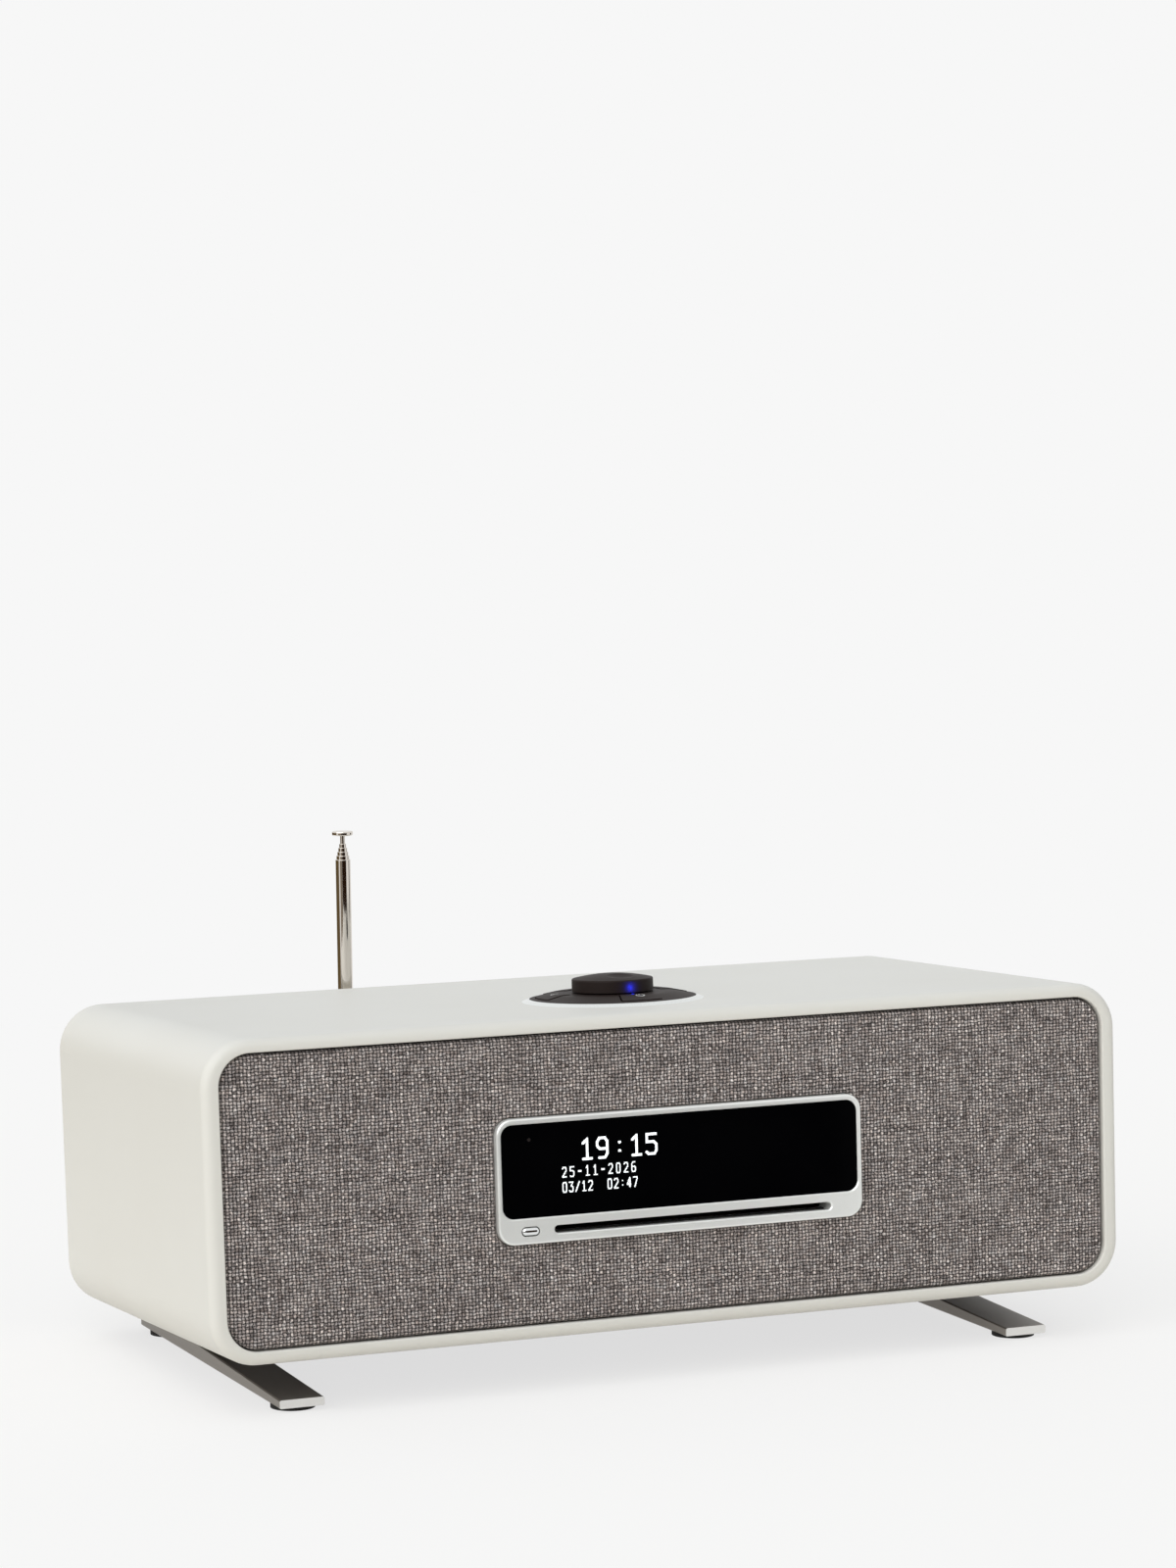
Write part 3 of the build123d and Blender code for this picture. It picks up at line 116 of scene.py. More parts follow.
def grainedFinish(name, colours, grain, rough, bump, surface=None, stretch=(1, 1, 1), wander=40.0):
    material, tree, shader = startMaterial(name, surface or {})
    low, high = grainLook["low"], grainLook["high"]
    place = addNode(tree, "ShaderNodeTexCoord").outputs["Object"]
    drawn = addNode(tree, "ShaderNodeMapping", {"Vector": place, "Scale": stretch}).outputs["Vector"]
    fine = addNode(
        tree, "ShaderNodeTexNoise",
        {"Vector": drawn, "Scale": perMetre(grain), "Detail": grainLook["fineDetail"]},
    ).outputs["Fac"]
    broad = addNode(
        tree, "ShaderNodeTexNoise",
        {"Vector": place, "Scale": perMetre(wander), "Detail": grainLook["broadDetail"]},
    ).outputs["Fac"]
    both = addNode(
        tree, "ShaderNodeMix", {0: grainLook["broadShare"], 2: fine, 3: broad}, data_type="FLOAT"
    ).outputs[0]
    ramp = addNode(tree, "ShaderNodeValToRGB", {"Fac": both})
    ramp.color_ramp.elements[0].position, ramp.color_ramp.elements[1].position = low, high
    ramp.color_ramp.elements[0].color, ramp.color_ramp.elements[1].color = map(linear, colours)
    tree.links.new(ramp.outputs["Color"], shader.inputs["Base Color"])
    gloss = addNode(
        tree, "ShaderNodeMapRange",
        {"Value": both, "From Min": low, "From Max": high, "To Min": rough[0], "To Max": rough[1]},
    )
    tree.links.new(gloss.outputs["Result"], shader.inputs["Roughness"])
    relief = addNode(
        tree, "ShaderNodeBump", {"Height": fine, "Strength": grainLook["relief"], "Distance": bump / 1000}
    )
    tree.links.new(relief.outputs["Normal"], shader.inputs["Normal"])
    return material


# Satin lacquer sprayed on board: even, with a faint orange peel. The underside is painted dark brown: painted
# shade under the cabinet, which the feet's tops reflect.
lacquerLook = {
    "body": "#D8D6CF", "warm": "#D4D1C9", "paintedUnderShade": "#2A1C14", "under": -0.94, "drift": 90.0,
    "rough": (0.44, 0.54), "peel": 1.6, "peelStrength": 0.25, "peelDepth": 0.04,
}
satinLacquer, tree, shader = startMaterial("satinLacquer", {"IOR": 1.5})
place = addNode(tree, "ShaderNodeTexCoord").outputs["Object"]
peel = addNode(tree, "ShaderNodeTexNoise", {"Vector": place, "Scale": perMetre(lacquerLook["peel"])})
drift = addNode(
    tree, "ShaderNodeTexNoise", {"Vector": place, "Scale": perMetre(lacquerLook["drift"]), "Detail": 3.0}
).outputs["Fac"]
tint = addNode(
    tree, "ShaderNodeMix",
    {0: drift, 6: linear(lacquerLook["body"]), 7: linear(lacquerLook["warm"])},
    data_type="RGBA",
).outputs[2]
# Painted shade: faces that point down take the dark brown in place of the lacquer.
facing = addNode(
    tree, "ShaderNodeSeparateXYZ", {0: addNode(tree, "ShaderNodeNewGeometry").outputs["True Normal"]}
)
under = addNode(
    tree, "ShaderNodeMath", {0: facing.outputs["Z"], 1: lacquerLook["under"]}, operation="LESS_THAN"
).outputs[0]
coatAndUnderShade = addNode(
    tree, "ShaderNodeMix", {0: under, 6: tint, 7: linear(lacquerLook["paintedUnderShade"])}, data_type="RGBA"
)
tree.links.new(coatAndUnderShade.outputs[2], shader.inputs["Base Color"])
satin = addNode(
    tree, "ShaderNodeMapRange",
    {"Value": drift, "To Min": lacquerLook["rough"][0], "To Max": lacquerLook["rough"][1]},
)
tree.links.new(satin.outputs["Result"], shader.inputs["Roughness"])
skin = addNode(
    tree, "ShaderNodeBump",
    {"Height": peel.outputs["Fac"], "Strength": lacquerLook["peelStrength"],
     "Distance": lacquerLook["peelDepth"] / 1000},
)
tree.links.new(skin.outputs["Normal"], shader.inputs["Normal"])

# Woven melange: plain weave of thick mixed yarns, grey with dark and pale slubs, and painted shade down
# between the yarns.
# Its UV map counts threads, so a whole number is the gap between two yarns.
weave = {
    "dark": "#7A726E", "mid": "#C1B9B4", "pale": "#F8F1EA", "toneMarks": (0.3, 0.5, 0.7),
    "warm": "#FFEBE0", "cool": "#E8F3FF", "speck": 0.14,
    "drift": 0.16, "warpApart": 17.3, "weftApart": 13.7,  # slow along a yarn, far apart from yarn to yarn
    "uneven": 0.8, "wobble": 0.7, "warpGaps": (0.04, 0.4), "weftGaps": (0.36, 0.07), "round": 0.42,
    "under": 0.78, "fibres": 2.4, "fibreMarks": (0.3, 0.7), "fibre": (0.7, 1.36), "ragged": 0.45,
    "relief": 0.6, "reliefDepth": 0.25,
}
melange, tree, shader = startMaterial(
    "wovenMelange",
    {"Roughness": 0.92, "Specular IOR Level": 0.2, "Sheen Weight": 0.1, "Sheen Roughness": 0.6},
)
straight = addNode(tree, "ShaderNodeUVMap", uv_map="threads").outputs["UV"]
uneven = addNode(
    tree, "ShaderNodeTexNoise", {"Vector": straight, "Scale": weave["uneven"], "Detail": 2.0}
).outputs["Color"]
aside = addNode(
    tree, "ShaderNodeVectorMath", {0: uneven, 1: (0.5, 0.5, 0.5)}, operation="SUBTRACT"
).outputs[0]
push = (weave["wobble"], weave["wobble"], 0)
threads = addNode(
    tree, "ShaderNodeVectorMath", {0: aside, 1: push, 2: straight}, operation="MULTIPLY_ADD"
).outputs[0]
count = addNode(tree, "ShaderNodeSeparateXYZ", {0: threads})
warpNumber = addNode(tree, "ShaderNodeMath", {0: count.outputs["X"]}, operation="FLOOR").outputs[0]
weftNumber = addNode(tree, "ShaderNodeMath", {0: count.outputs["Y"]}, operation="FLOOR").outputs[0]
over = addNode(tree, "ShaderNodeTexChecker", {"Vector": threads, "Scale": 1.0}).outputs["Fac"]
yarns = []
for number, along, apart in (
    (warpNumber, count.outputs["Y"], weave["warpApart"]),
    (weftNumber, count.outputs["X"], weave["weftApart"]),
):
    row = addNode(tree, "ShaderNodeMath", {0: number, 1: apart}, operation="MULTIPLY").outputs[0]
    run = addNode(tree, "ShaderNodeMath", {0: along, 1: weave["drift"]}, operation="MULTIPLY").outputs[0]
    spot = addNode(tree, "ShaderNodeCombineXYZ", {"X": row, "Y": run, "Z": apart}).outputs[0]
    mixed = addNode(tree, "ShaderNodeTexNoise", {"Vector": spot, "Scale": 1.0, "Detail": 3.0})
    yarns.append(mixed.outputs["Fac"])
yarn = addNode(tree, "ShaderNodeMix", {0: over, 2: yarns[0], 3: yarns[1]}, data_type="FLOAT").outputs[0]
crossing = addNode(tree, "ShaderNodeCombineXYZ", {"X": warpNumber, "Y": weftNumber}).outputs[0]
speck = addNode(tree, "ShaderNodeTexWhiteNoise", {"Vector": crossing}, noise_dimensions="2D").outputs["Value"]
tone = addNode(tree, "ShaderNodeMix", {0: weave["speck"], 2: yarn, 3: speck}, data_type="FLOAT").outputs[0]
ramp = addNode(tree, "ShaderNodeValToRGB", {"Fac": tone})
darkMark, midMark, paleMark = weave["toneMarks"]
ramp.color_ramp.elements[0].position, ramp.color_ramp.elements[1].position = darkMark, paleMark
ramp.color_ramp.elements[0].color = linear(weave["dark"])
ramp.color_ramp.elements[1].color = linear(weave["pale"])
ramp.color_ramp.elements.new(midMark).color = linear(weave["mid"])
fibres = addNode(
    tree, "ShaderNodeTexNoise", {"Vector": threads, "Scale": weave["fibres"], "Detail": 3.0}
).outputs["Fac"]
# Painted shade: each yarn darkens towards the gaps round it, near black at the darkest; the same profile
# drives the bump.
gaps = []
for share, (warpUp, weftUp) in (
    (count.outputs["X"], weave["warpGaps"]), (count.outputs["Y"], weave["weftGaps"]),
):
    ridge = addNode(tree, "ShaderNodeMath", {0: share, 1: 0.5}, operation="PINGPONG").outputs[0]
    least = addNode(tree, "ShaderNodeMix", {0: over, 2: warpUp, 3: weftUp}, data_type="FLOAT").outputs[0]
    fuzzy = addNode(
        tree, "ShaderNodeMath", {0: fibres, 1: weave["ragged"], 2: ridge}, operation="MULTIPLY_ADD"
    ).outputs[0]
    start = weave["ragged"] / 2
    gaps.append(addNode(
        tree, "ShaderNodeMapRange",
        {"Value": fuzzy, "From Min": start, "From Max": start + weave["round"], "To Min": least},
        interpolation_type="SMOOTHSTEP",
    ).outputs["Result"])
rise = addNode(tree, "ShaderNodeMath", {0: gaps[0], 1: gaps[1]}, operation="MULTIPLY").outputs[0]
# Painted shade: the cells where the weft lies on top are darkened by the under share.
weftOverShade = addNode(
    tree, "ShaderNodeMapRange", {"Value": over, "To Min": 1.0, "To Max": weave["under"]}
).outputs["Result"]
fuzz = addNode(
    tree, "ShaderNodeMapRange",
    {"Value": fibres, "From Min": weave["fibreMarks"][0], "From Max": weave["fibreMarks"][1],
     "To Min": weave["fibre"][0], "To Max": weave["fibre"][1]},
).outputs["Result"]
gapAndCellShade = addNode(tree, "ShaderNodeMath", {0: rise, 1: weftOverShade}, operation="MULTIPLY").outputs[0]
shade = addNode(tree, "ShaderNodeMath", {0: gapAndCellShade, 1: fuzz}, operation="MULTIPLY").outputs[0]
dyed = addNode(
    tree, "ShaderNodeMix", {0: uneven, 6: linear(weave["warm"]), 7: linear(weave["cool"])}, data_type="RGBA"
).outputs[2]
tinted = addNode(
    tree, "ShaderNodeMix", {0: 1.0, 6: ramp.outputs["Color"], 7: dyed},
    data_type="RGBA", blend_type="MULTIPLY",
).outputs[2]
coloured = addNode(
    tree, "ShaderNodeMix", {0: 1.0, 6: tinted, 7: shade}, data_type="RGBA", blend_type="MULTIPLY"
)
tree.links.new(coloured.outputs[2], shader.inputs["Base Color"])
yarnRelief = addNode(
    tree, "ShaderNodeBump",
    {"Height": rise, "Strength": weave["relief"], "Distance": weave["reliefDepth"] / 1000},
)
tree.links.new(yarnRelief.outputs["Normal"], shader.inputs["Normal"])

# Anodised silver, bead blasted: pale, with a fine even sparkle and a soft highlight on its edges
satinSilver = grainedFinish(
    "satinSilver", ("#EBECE9", "#F3F4F1"), 0.3, (0.3, 0.38), 0.006, {"Metallic": 0.55}, wander=60
)
# The same, turned: the ring round the control, a shade greyer
turnedSilver = grainedFinish(
    "turnedSilver", ("#DFE1DF", "#E9EBE9"), 0.3, (0.26, 0.34), 0.006, {"Metallic": 0.75}, wander=60
)
# Smoked acrylic, polished: black all through, mirror smooth, with faint wiping marks in its gloss
glossBlack = grainedFinish(
    "smokedAcrylic", ("#020203", "#040405"), 25.0, (0.05, 0.1), 0.001, {"Specular IOR Level": 0.01}, wander=30
)
# Bright nickel on brass tube: a warm mirror with faint lines along the drawing direction
brightNickel = grainedFinish(
    "brightNickel", ("#D3CCC3", "#DFD9D1"), 0.4, (0.05, 0.09), 0.001, {"Metallic": 1.0}, stretch=(1, 1, 0.04)
)
# Bright chrome on a moulding: a cold mirror
brightChrome = grainedFinish(
    "brightChrome", ("#E6E8E8", "#F0F2F2"), 0.5, (0.04, 0.08), 0.001, {"Metallic": 1.0}
)
# Extruded aluminium, brushed lengthwise: long fine lines. Its front end is painted pale, a painted highlight,
# and every other face a darker brown grey, painted shade, chosen by the way each face points.
footLook = {"litEnd": ("#E0DFDC", "#ECEBE8"), "shadedBody": "#817A71", "endFaces": -0.9}
satinAluminium = grainedFinish(
    "satinAluminium", footLook["litEnd"], 0.25, (0.3, 0.38), 0.004, {"Metallic": 0.5}, stretch=(1, 0.02, 1)
)
tree = satinAluminium.node_tree
shader = tree.nodes["Principled BSDF"]
brushed = shader.inputs["Base Color"].links[0].from_socket
# Painted light: faces that point to the front keep the pale brushed colours, all others take the darker brown
# grey.
facing = addNode(
    tree, "ShaderNodeSeparateXYZ", {0: addNode(tree, "ShaderNodeNewGeometry").outputs["True Normal"]}
)
offEnd = addNode(
    tree, "ShaderNodeMath", {0: facing.outputs["Y"], 1: footLook["endFaces"]}, operation="GREATER_THAN"
).outputs[0]
footLitAndShaded = addNode(
    tree, "ShaderNodeMix", {0: offEnd, 6: brushed, 7: linear(footLook["shadedBody"])}, data_type="RGBA"
)
tree.links.new(footLitAndShaded.outputs[2], shader.inputs["Base Color"])
# Moulded ABS with a soft-touch paint: brown black, with a fine spark texture that spreads the highlight
softBlack = grainedFinish(
    "softTouchBlack", ("#1A120F", "#221815"), 0.35, (0.5, 0.6), 0.01, {"Specular IOR Level": 0.15}
)
# Moulded rubber: matte black with a dusty bloom
mattRubber = grainedFinish("mattRubber", ("#0F0E0D", "#1A1816"), 0.8, (0.75, 0.92), 0.03)
# Sprayed textured paint on board: near black, pebbled about a millimetre across
pebblePaint = grainedFinish("pebblePaint", ("#141413", "#1E1D1C"), 0.9, (0.55, 0.7), 0.06)
# Sawn fibreboard: brown, with short pressed fibres
fibreboard = grainedFinish("fibreboard", ("#5B4732", "#7D6548"), 0.7, (0.8, 0.92), 0.05, stretch=(0.5, 1, 1))
# Solder mask on glass laminate: green, with the woven glass just showing
solderMask = grainedFinish("solderMask", ("#0B3A1C", "#125028"), 0.6, (0.3, 0.45), 0.01, stretch=(1, 0.3, 1))
# Zinc plated sheet: cold grey with wide soft spangles
zincSheet = grainedFinish("zincSheet", ("#86888B", "#A3A5A8"), 6.0, (0.3, 0.5), 0.004, {"Metallic": 1.0})
# Moulded polyamide: dark grey, flat
mouldedGrey = grainedFinish("mouldedGrey", ("#1C1C1E", "#28282A"), 0.5, (0.5, 0.65), 0.01)
# Ground steel: bright, with fine lines
groundSteel = grainedFinish(
    "groundSteel", ("#A9AAAC", "#BDBEC0"), 0.3, (0.18, 0.3), 0.002, {"Metallic": 1.0}, stretch=(0.05, 1, 1)
)
# Ferrite and zinc: dull dark grey, a little pitted
ferrite = grainedFinish("ferrite", ("#222224", "#36363A"), 1.2, (0.5, 0.7), 0.03, {"Metallic": 0.4})
# Pressed paper pulp: black, felted
paperPulp = grainedFinish("paperPulp", ("#141312", "#221F1D"), 0.9, (0.85, 0.95), 0.05)
# Gold plate on brass: warm and bright
goldPlate = grainedFinish("goldPlate", ("#C29A48", "#D6B160"), 0.5, (0.14, 0.24), 0.002, {"Metallic": 1.0})
# Black oxide on steel: dark, with an oily sheen
blackOxide = grainedFinish("blackOxide", ("#151516", "#232325"), 0.5, (0.35, 0.5), 0.006, {"Metallic": 0.7})
# Moulded ABS, fine texture: the connector plate and the jacks' housings
texturedAbs = grainedFinish("texturedAbs", ("#131313", "#1B1B1B"), 0.4, (0.5, 0.62), 0.02)
# Pressed wool felt: black, fuzzy
blackFelt = grainedFinish("blackFelt", ("#050505", "#121111"), 0.25, (0.95, 1.0), 0.12)
# Pad printing: pale grey ink, matt
paleInk = grainedFinish("paleInk", ("#C4C4C0", "#D6D6D2"), 0.3, (0.55, 0.65), 0.002)
# Moulded ABS in two colours: the rings that tell the line jacks apart
whiteAbs = grainedFinish("whiteAbs", ("#CFCDC6", "#DAD8D2"), 0.5, (0.4, 0.5), 0.006)
redAbs = grainedFinish("redAbs", ("#8E1512", "#A11B17"), 0.5, (0.4, 0.5), 0.006)
# Smoked polycarbonate, moulded: the infrared lens, a shade paler than the window round it
smokedLens = grainedFinish("smokedPolycarbonate", ("#1A1616", "#2A2424"), 0.4, (0.2, 0.3), 0.004)
# Organic LED dots, lit: white, a little uneven from dot to dot
dotGlow = {"Emission Color": linear("#F2F7FA"), "Emission Strength": 0.9}
litDots = grainedFinish("litOrganicLed", ("#E6ECEF", "#FFFFFF"), 0.6, (0.4, 0.5), 0.001, dotGlow)
# Blue acrylic, moulded: a light pipe, clear and lit from below
lampGlow = {"Emission Color": linear("#2A38FF"), "Emission Strength": 0.5}
blueAcrylic = grainedFinish("blueAcrylic", ("#1B2CFF", "#3A4BFF"), 0.3, (0.15, 0.25), 0.002, lampGlow)
print("materials made")

# Every CAD node that stays gets its finish here. The pieces made further down carry their own.
speakers = [f"{side}_speaker_" for side in ("left", "right")]
buttons = ["power_button", "source_button", "preset_button", "menu_button", "back_button"]
aerialTubes = ["aerial_tube"] + [f"aerial_section_{i}" for i in (2, 3, 4, 5)] + ["aerial_rod"]
finishes = (
    (satinLacquer, ["cabinet_shell"]),
    (fibreboard, ["grille_frame", "front_baffle", "rear_frame"]),
    (satinSilver, ["display_bezel"]),
    (turnedSilver, ["control_ring"]),
    (glossBlack, ["display_window"]),
    (solderMask, ["display_module", "main_board", "control_board"]),
    (brightChrome, ["eject_button"]),
    (brightNickel, ["aerial_swivel"] + aerialTubes),
    (zincSheet, ["cd_chassis", "cd_motor", "heat_sink"]),
    (mouldedGrey, ["cd_standoffs", "cd_turntable", "laser_sled", "encoder_body", "encoder_plunger"]),
    (mattRubber, ["cd_roller", "foot_pads"] + [s + "surround" for s in speakers]),
    (groundSteel, ["sled_rods", "encoder_shaft", "foot_screws", "aerial_pin"]),
    (blackOxide, [s + "basket" for s in speakers]),
    (ferrite, [s + "magnet" for s in speakers]),
    (paperPulp, [s + "cone" for s in speakers]),
    (pebblePaint, ["rear_panel"]),
    (texturedAbs, ["connector_plate", "headphone_jack", "power_inlet"]),
    (goldPlate, ["line_jacks", "aerial_socket"]),
    (softBlack, ["control_plate", "dial_knob"] + buttons),
    (blueAcrylic, ["power_lamp"]),
    (satinAluminium, ["left_foot", "right_foot"]),
)
for material, names in finishes:
    for name in names:
        nodes[name].data.materials.clear()
        nodes[name].data.materials.append(material)
print("nodes dressed:", sum(len(names) for material, names in finishes))


def makePiece(name, bm, material, body, stoodFor=(), sharp=35.0):
    bm.transform(toRow)
    mesh = bpy.data.meshes.new(name)
    bm.to_mesh(mesh)
    bm.free()
    mesh.materials.append(material)
    mesh.shade_smooth()
    mesh.set_sharp_from_angle(angle=math.radians(sharp))
    piece = bpy.data.objects.new(name, mesh)
    scene.collection.objects.link(piece)
    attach(piece, body)
    if stoodFor:
        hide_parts(*stoodFor)
    return piece


# Distance outside a rounded rectangle in the front's plane, and the way out from it
def pastOutline(x, z, halfWidth, halfHeight, corner):
    fromX, fromZ = abs(x) - halfWidth + corner, abs(z) - halfHeight + corner
    if fromX > 0 and fromZ > 0:
        reach = math.hypot(fromX, fromZ)
        return reach - corner, Vector((math.copysign(fromX, x), 0, math.copysign(fromZ, z))) / reach
    if fromX > fromZ:
        return fromX - corner, Vector((math.copysign(1, x), 0, 0))
    return fromZ - corner, Vector((0, 0, math.copysign(1, z)))


# Grille cloth: one woven sheet, drawn over the frame, rolled round its rim and into the bezel's hole.
# Each thread has two rows of points, so the crossings stand up and the gaps sink in the mesh itself.
grille = {
    "halfWidth": 202.2, "halfHeight": 60.5, "corner": 12.85, "roll": 2.0, "tail": 5.0,
    "holeHalfWidth": 84.3, "holeHalfHeight": 26.8, "holeCorner": 7.3, "holeRoll": 0.7, "holeTail": 2.0,
    "warp": 1.6, "weft": 1.4, "front": 1.3, "gap": -0.22, "yarn": 0.02, "crossing": 0.2, "loose": 0.05,
    "slub": 0.09, "slubRun": 9.0, "weftSlub": (3.7, 1.5), "warpSlub": (5.3, 8.5),  # each in its own noise
    "sway": 0.4, "swayRun": (6.0, 5.0), "swaySlices": (3.5, 6.5), "pressed": 0.6,
}


def rolled(distance, radius, tail):  # how far out and back a point goes, that far past the roll's start
    turned = min(distance, radius * math.pi / 2)
    straight = min(max(distance - turned, 0), tail)
    return radius * math.sin(turned / radius), radius * (1 - math.cos(turned / radius)) + straight


rimLength = grille["roll"] * math.pi / 2 + grille["tail"]
holeLength = grille["holeRoll"] * math.pi / 2 + grille["holeTail"]
flatHalfX = grille["halfWidth"] - grille["roll"] + rimLength
flatHalfZ = grille["halfHeight"] - grille["roll"] + rimLength
warpSteps, weftSteps = math.ceil(flatHalfX / grille["warp"]) * 2, math.ceil(flatHalfZ / grille["weft"]) * 2
bm = bmesh.new()
spread = Matrix.Diagonal((warpSteps * grille["warp"] / 2, weftSteps * grille["weft"] / 2, 1, 1))
bmesh.ops.create_grid(
    bm, x_segments=warpSteps * 2, y_segments=weftSteps * 2, size=1.0, matrix=facingFront @ spread
)
uvLayer = bm.loops.layers.uv.new("threads")
for face in bm.faces:
    for loop in face.loops:
        loop[uvLayer].uv = (loop.vert.co.x / grille["warp"], loop.vert.co.z / grille["weft"])
rimBox = (
    grille["halfWidth"] - grille["roll"], grille["halfHeight"] - grille["roll"],
    grille["corner"] - grille["roll"],
)
holeBox = (
    grille["holeHalfWidth"] + grille["holeRoll"], grille["holeHalfHeight"] + grille["holeRoll"],
    grille["holeCorner"] + grille["holeRoll"],
)
cutAway = set()
longRun, shortRun = grille["swayRun"]
for vert in bm.verts:
    x, z = vert.co.x, vert.co.z
    onWarp, onWeft = round(2 * x / grille["warp"]) % 2, round(2 * z / grille["weft"]) % 2
    height = (grille["gap"], grille["yarn"], grille["crossing"])[onWarp + onWeft]
    step, layer = grille["weftSlub"]
    height += grille["slub"] * noise.noise((x / grille["slubRun"], round(z / grille["weft"]) * step, layer))
    step, layer = grille["warpSlub"]
    height += grille["slub"] * noise.noise((round(x / grille["warp"]) * step, z / grille["slubRun"], layer))
    height += draws.uniform(-grille["loose"], grille["loose"])
    swayX = noise.noise((x / longRun, z / shortRun, grille["swaySlices"][0]))
    swayZ = noise.noise((x / shortRun, z / longRun, grille["swaySlices"][1]))
    past, outwards = pastOutline(x, z, *rimBox)
    pastHole, fromHole = pastOutline(x, z, *holeBox)
    place, facing = Vector((x, grille["front"], z)), Vector((0, -1, 0))
    for distance, away, radius, tail, length in (
        (past, outwards, grille["roll"], grille["tail"], rimLength),
        (-pastHole, -fromHole, grille["holeRoll"], grille["holeTail"], holeLength),
    ):
        if distance > 0:
            out, back = rolled(distance, radius, tail)
            turn = min(distance / radius, math.pi / 2)
            facing = Vector((0, -math.cos(turn), 0)) + away * math.sin(turn)
            place = place - away * (distance - out) + Vector((0, back, 0))
            height *= 1 - grille["pressed"] * turn / (math.pi / 2)
        if distance > length:
            cutAway.add(vert)
    if past < -grille["roll"] and pastHole > grille["roll"]:
        place += Vector((swayX, 0, swayZ)) * grille["sway"]
    vert.co = place + facing * height
lost = [face for face in bm.faces if all(vert in cutAway for vert in face.verts)]
bmesh.ops.delete(bm, geom=lost, context="FACES")
clothFaces = len(bm.faces)
clothPiece = makePiece("grilleCloth", bm, melange, "cabinet", ["grille_cloth"], sharp=180)
print("grille cloth:", clothFaces, "faces, cut", round(2 * flatHalfX, 1), "x", round(2 * flatHalfZ, 1), "mm")

# Slot felt: two soft lips inside the disc slot, rounded along their edges, with a fuzzy face
felt = {
    "x": 5.0, "z": -21.0, "length": 124.6, "thick": 0.6, "deep": 3.0, "front": 2.5, "offset": 1.4,
    "round": 0.22, "cuts": 150, "fuzz": 0.05,
}


def lengthwise(bm):  # the edges that run along the slot
    return [edge for edge in bm.edges if abs((edge.verts[0].co - edge.verts[1].co).x) > felt["deep"]]


for name, side in (("upperFelt", 1), ("lowerFelt", -1)):
    bm = bmesh.new()
    bmesh.ops.create_cube(bm, size=1.0)
    bmesh.ops.scale(bm, vec=(felt["length"], felt["deep"], felt["thick"]), verts=bm.verts)
    bmesh.ops.bevel(
        bm, geom=lengthwise(bm), offset=felt["round"], segments=2, affect="EDGES", profile=0.5, material=-1
    )
    bmesh.ops.subdivide_edges(bm, edges=lengthwise(bm), cuts=felt["cuts"], use_grid_fill=True)
    for vert in bm.verts:
        vert.co += Vector([draws.uniform(-felt["fuzz"], felt["fuzz"]) for axis in range(3)])
    middle = (felt["x"], felt["front"] + felt["deep"] / 2, felt["z"] + side * felt["offset"])
    bmesh.ops.translate(bm, vec=middle, verts=bm.verts)
    makePiece(name, bm, blackFelt, "cabinet", ["slot_felt"])
print("slot felt made")

# Display: lit dots just on the window, drawn by strokes on a dot grid: the time, then two rows of figures
display = {
    "face": -0.6, "lift": 0.03, "pitch": 0.268, "fill": 0.94,
    "clockFoot": 7.1, "clockDots": (21, 35), "clockWeight": 4,
    "clock": (("1", -43.3), ("9", -36.3), (":", -28.4), ("1", -20.8), ("5", -13.9)),
    "rowStart": -54.7, "rowDots": (8, 17), "rowWeight": 2, "rowFill": 0.84,
    "rows": (("25-11-2026", 0.45, 3.5), ("03/12  02:47", -5.95, 2.92)),
}
# Each figure's strokes, on a square one wide and one high
strokes = {
    "0": [[(0.2, 0), (0.8, 0), (1, 0.15), (1, 0.85), (0.8, 1), (0.2, 1), (0, 0.85), (0, 0.15), (0.2, 0)]],
    "1": [[(0.12, 0), (0.95, 0)], [(0.55, 0), (0.55, 1), (0.12, 0.8)]],
    "2": [[(0, 0.85), (0.2, 1), (0.8, 1), (1, 0.85), (1, 0.62), (0, 0.05), (0, 0), (1, 0)]],
    "3": [[(0, 1), (1, 1), (0.45, 0.58), (0.8, 0.58), (1, 0.45), (1, 0.15), (0.8, 0), (0.2, 0), (0, 0.15)]],
    "4": [[(0.75, 0), (0.75, 1), (0, 0.3), (1, 0.3)]],
    "5": [[(0.95, 1), (0.05, 1), (0.05, 0.6), (0.75, 0.6), (1, 0.46), (1, 0.16), (0.8, 0), (0.2, 0),
           (0, 0.1)]],
    "6": [[(0.85, 1), (0.25, 1), (0, 0.8), (0, 0.18), (0.22, 0), (0.78, 0), (1, 0.18), (1, 0.38),
           (0.78, 0.54), (0, 0.54)]],
    "7": [[(0, 1), (1, 1), (1, 0.85), (0.35, 0)]],
    "9": [[(0.2, 0), (0.75, 0), (1, 0.2), (1, 0.82), (0.78, 1), (0.22, 1), (0, 0.82), (0, 0.62),
           (0.22, 0.46), (1, 0.46)]],
    ":": [[(0.45, 0.28), (0.55, 0.28)], [(0.45, 0.72), (0.55, 0.72)]],
    "/": [[(0, 0), (1, 1)]],
    "-": [[(0.1, 0.5), (0.9, 0.5)]],
    " ": [],
}


def strokeDots(character, size, weight):  # which dots of a size = (across, up) grid a character lights
    inset = (weight - 1) / 2
    across, up = size[0] - 1 - 2 * inset, size[1] - 1 - 2 * inset
    lit = set()
    for line in strokes[character]:
        points = [Vector((inset + u * across, inset + v * up, 0)) for u, v in line]
        for start, end in zip(points, points[1:]):
            for column in range(size[0]):
                for row in range(size[1]):
                    dot = Vector((column, row, 0))
                    near, share = geometry.intersect_point_line(dot, start, end)
                    near = start if share < 0 else end if share > 1 else near
                    if (dot - near).length <= weight / 2 + 0.05:  # a little over, for rounding
                        lit.add((column, row))
    return lit


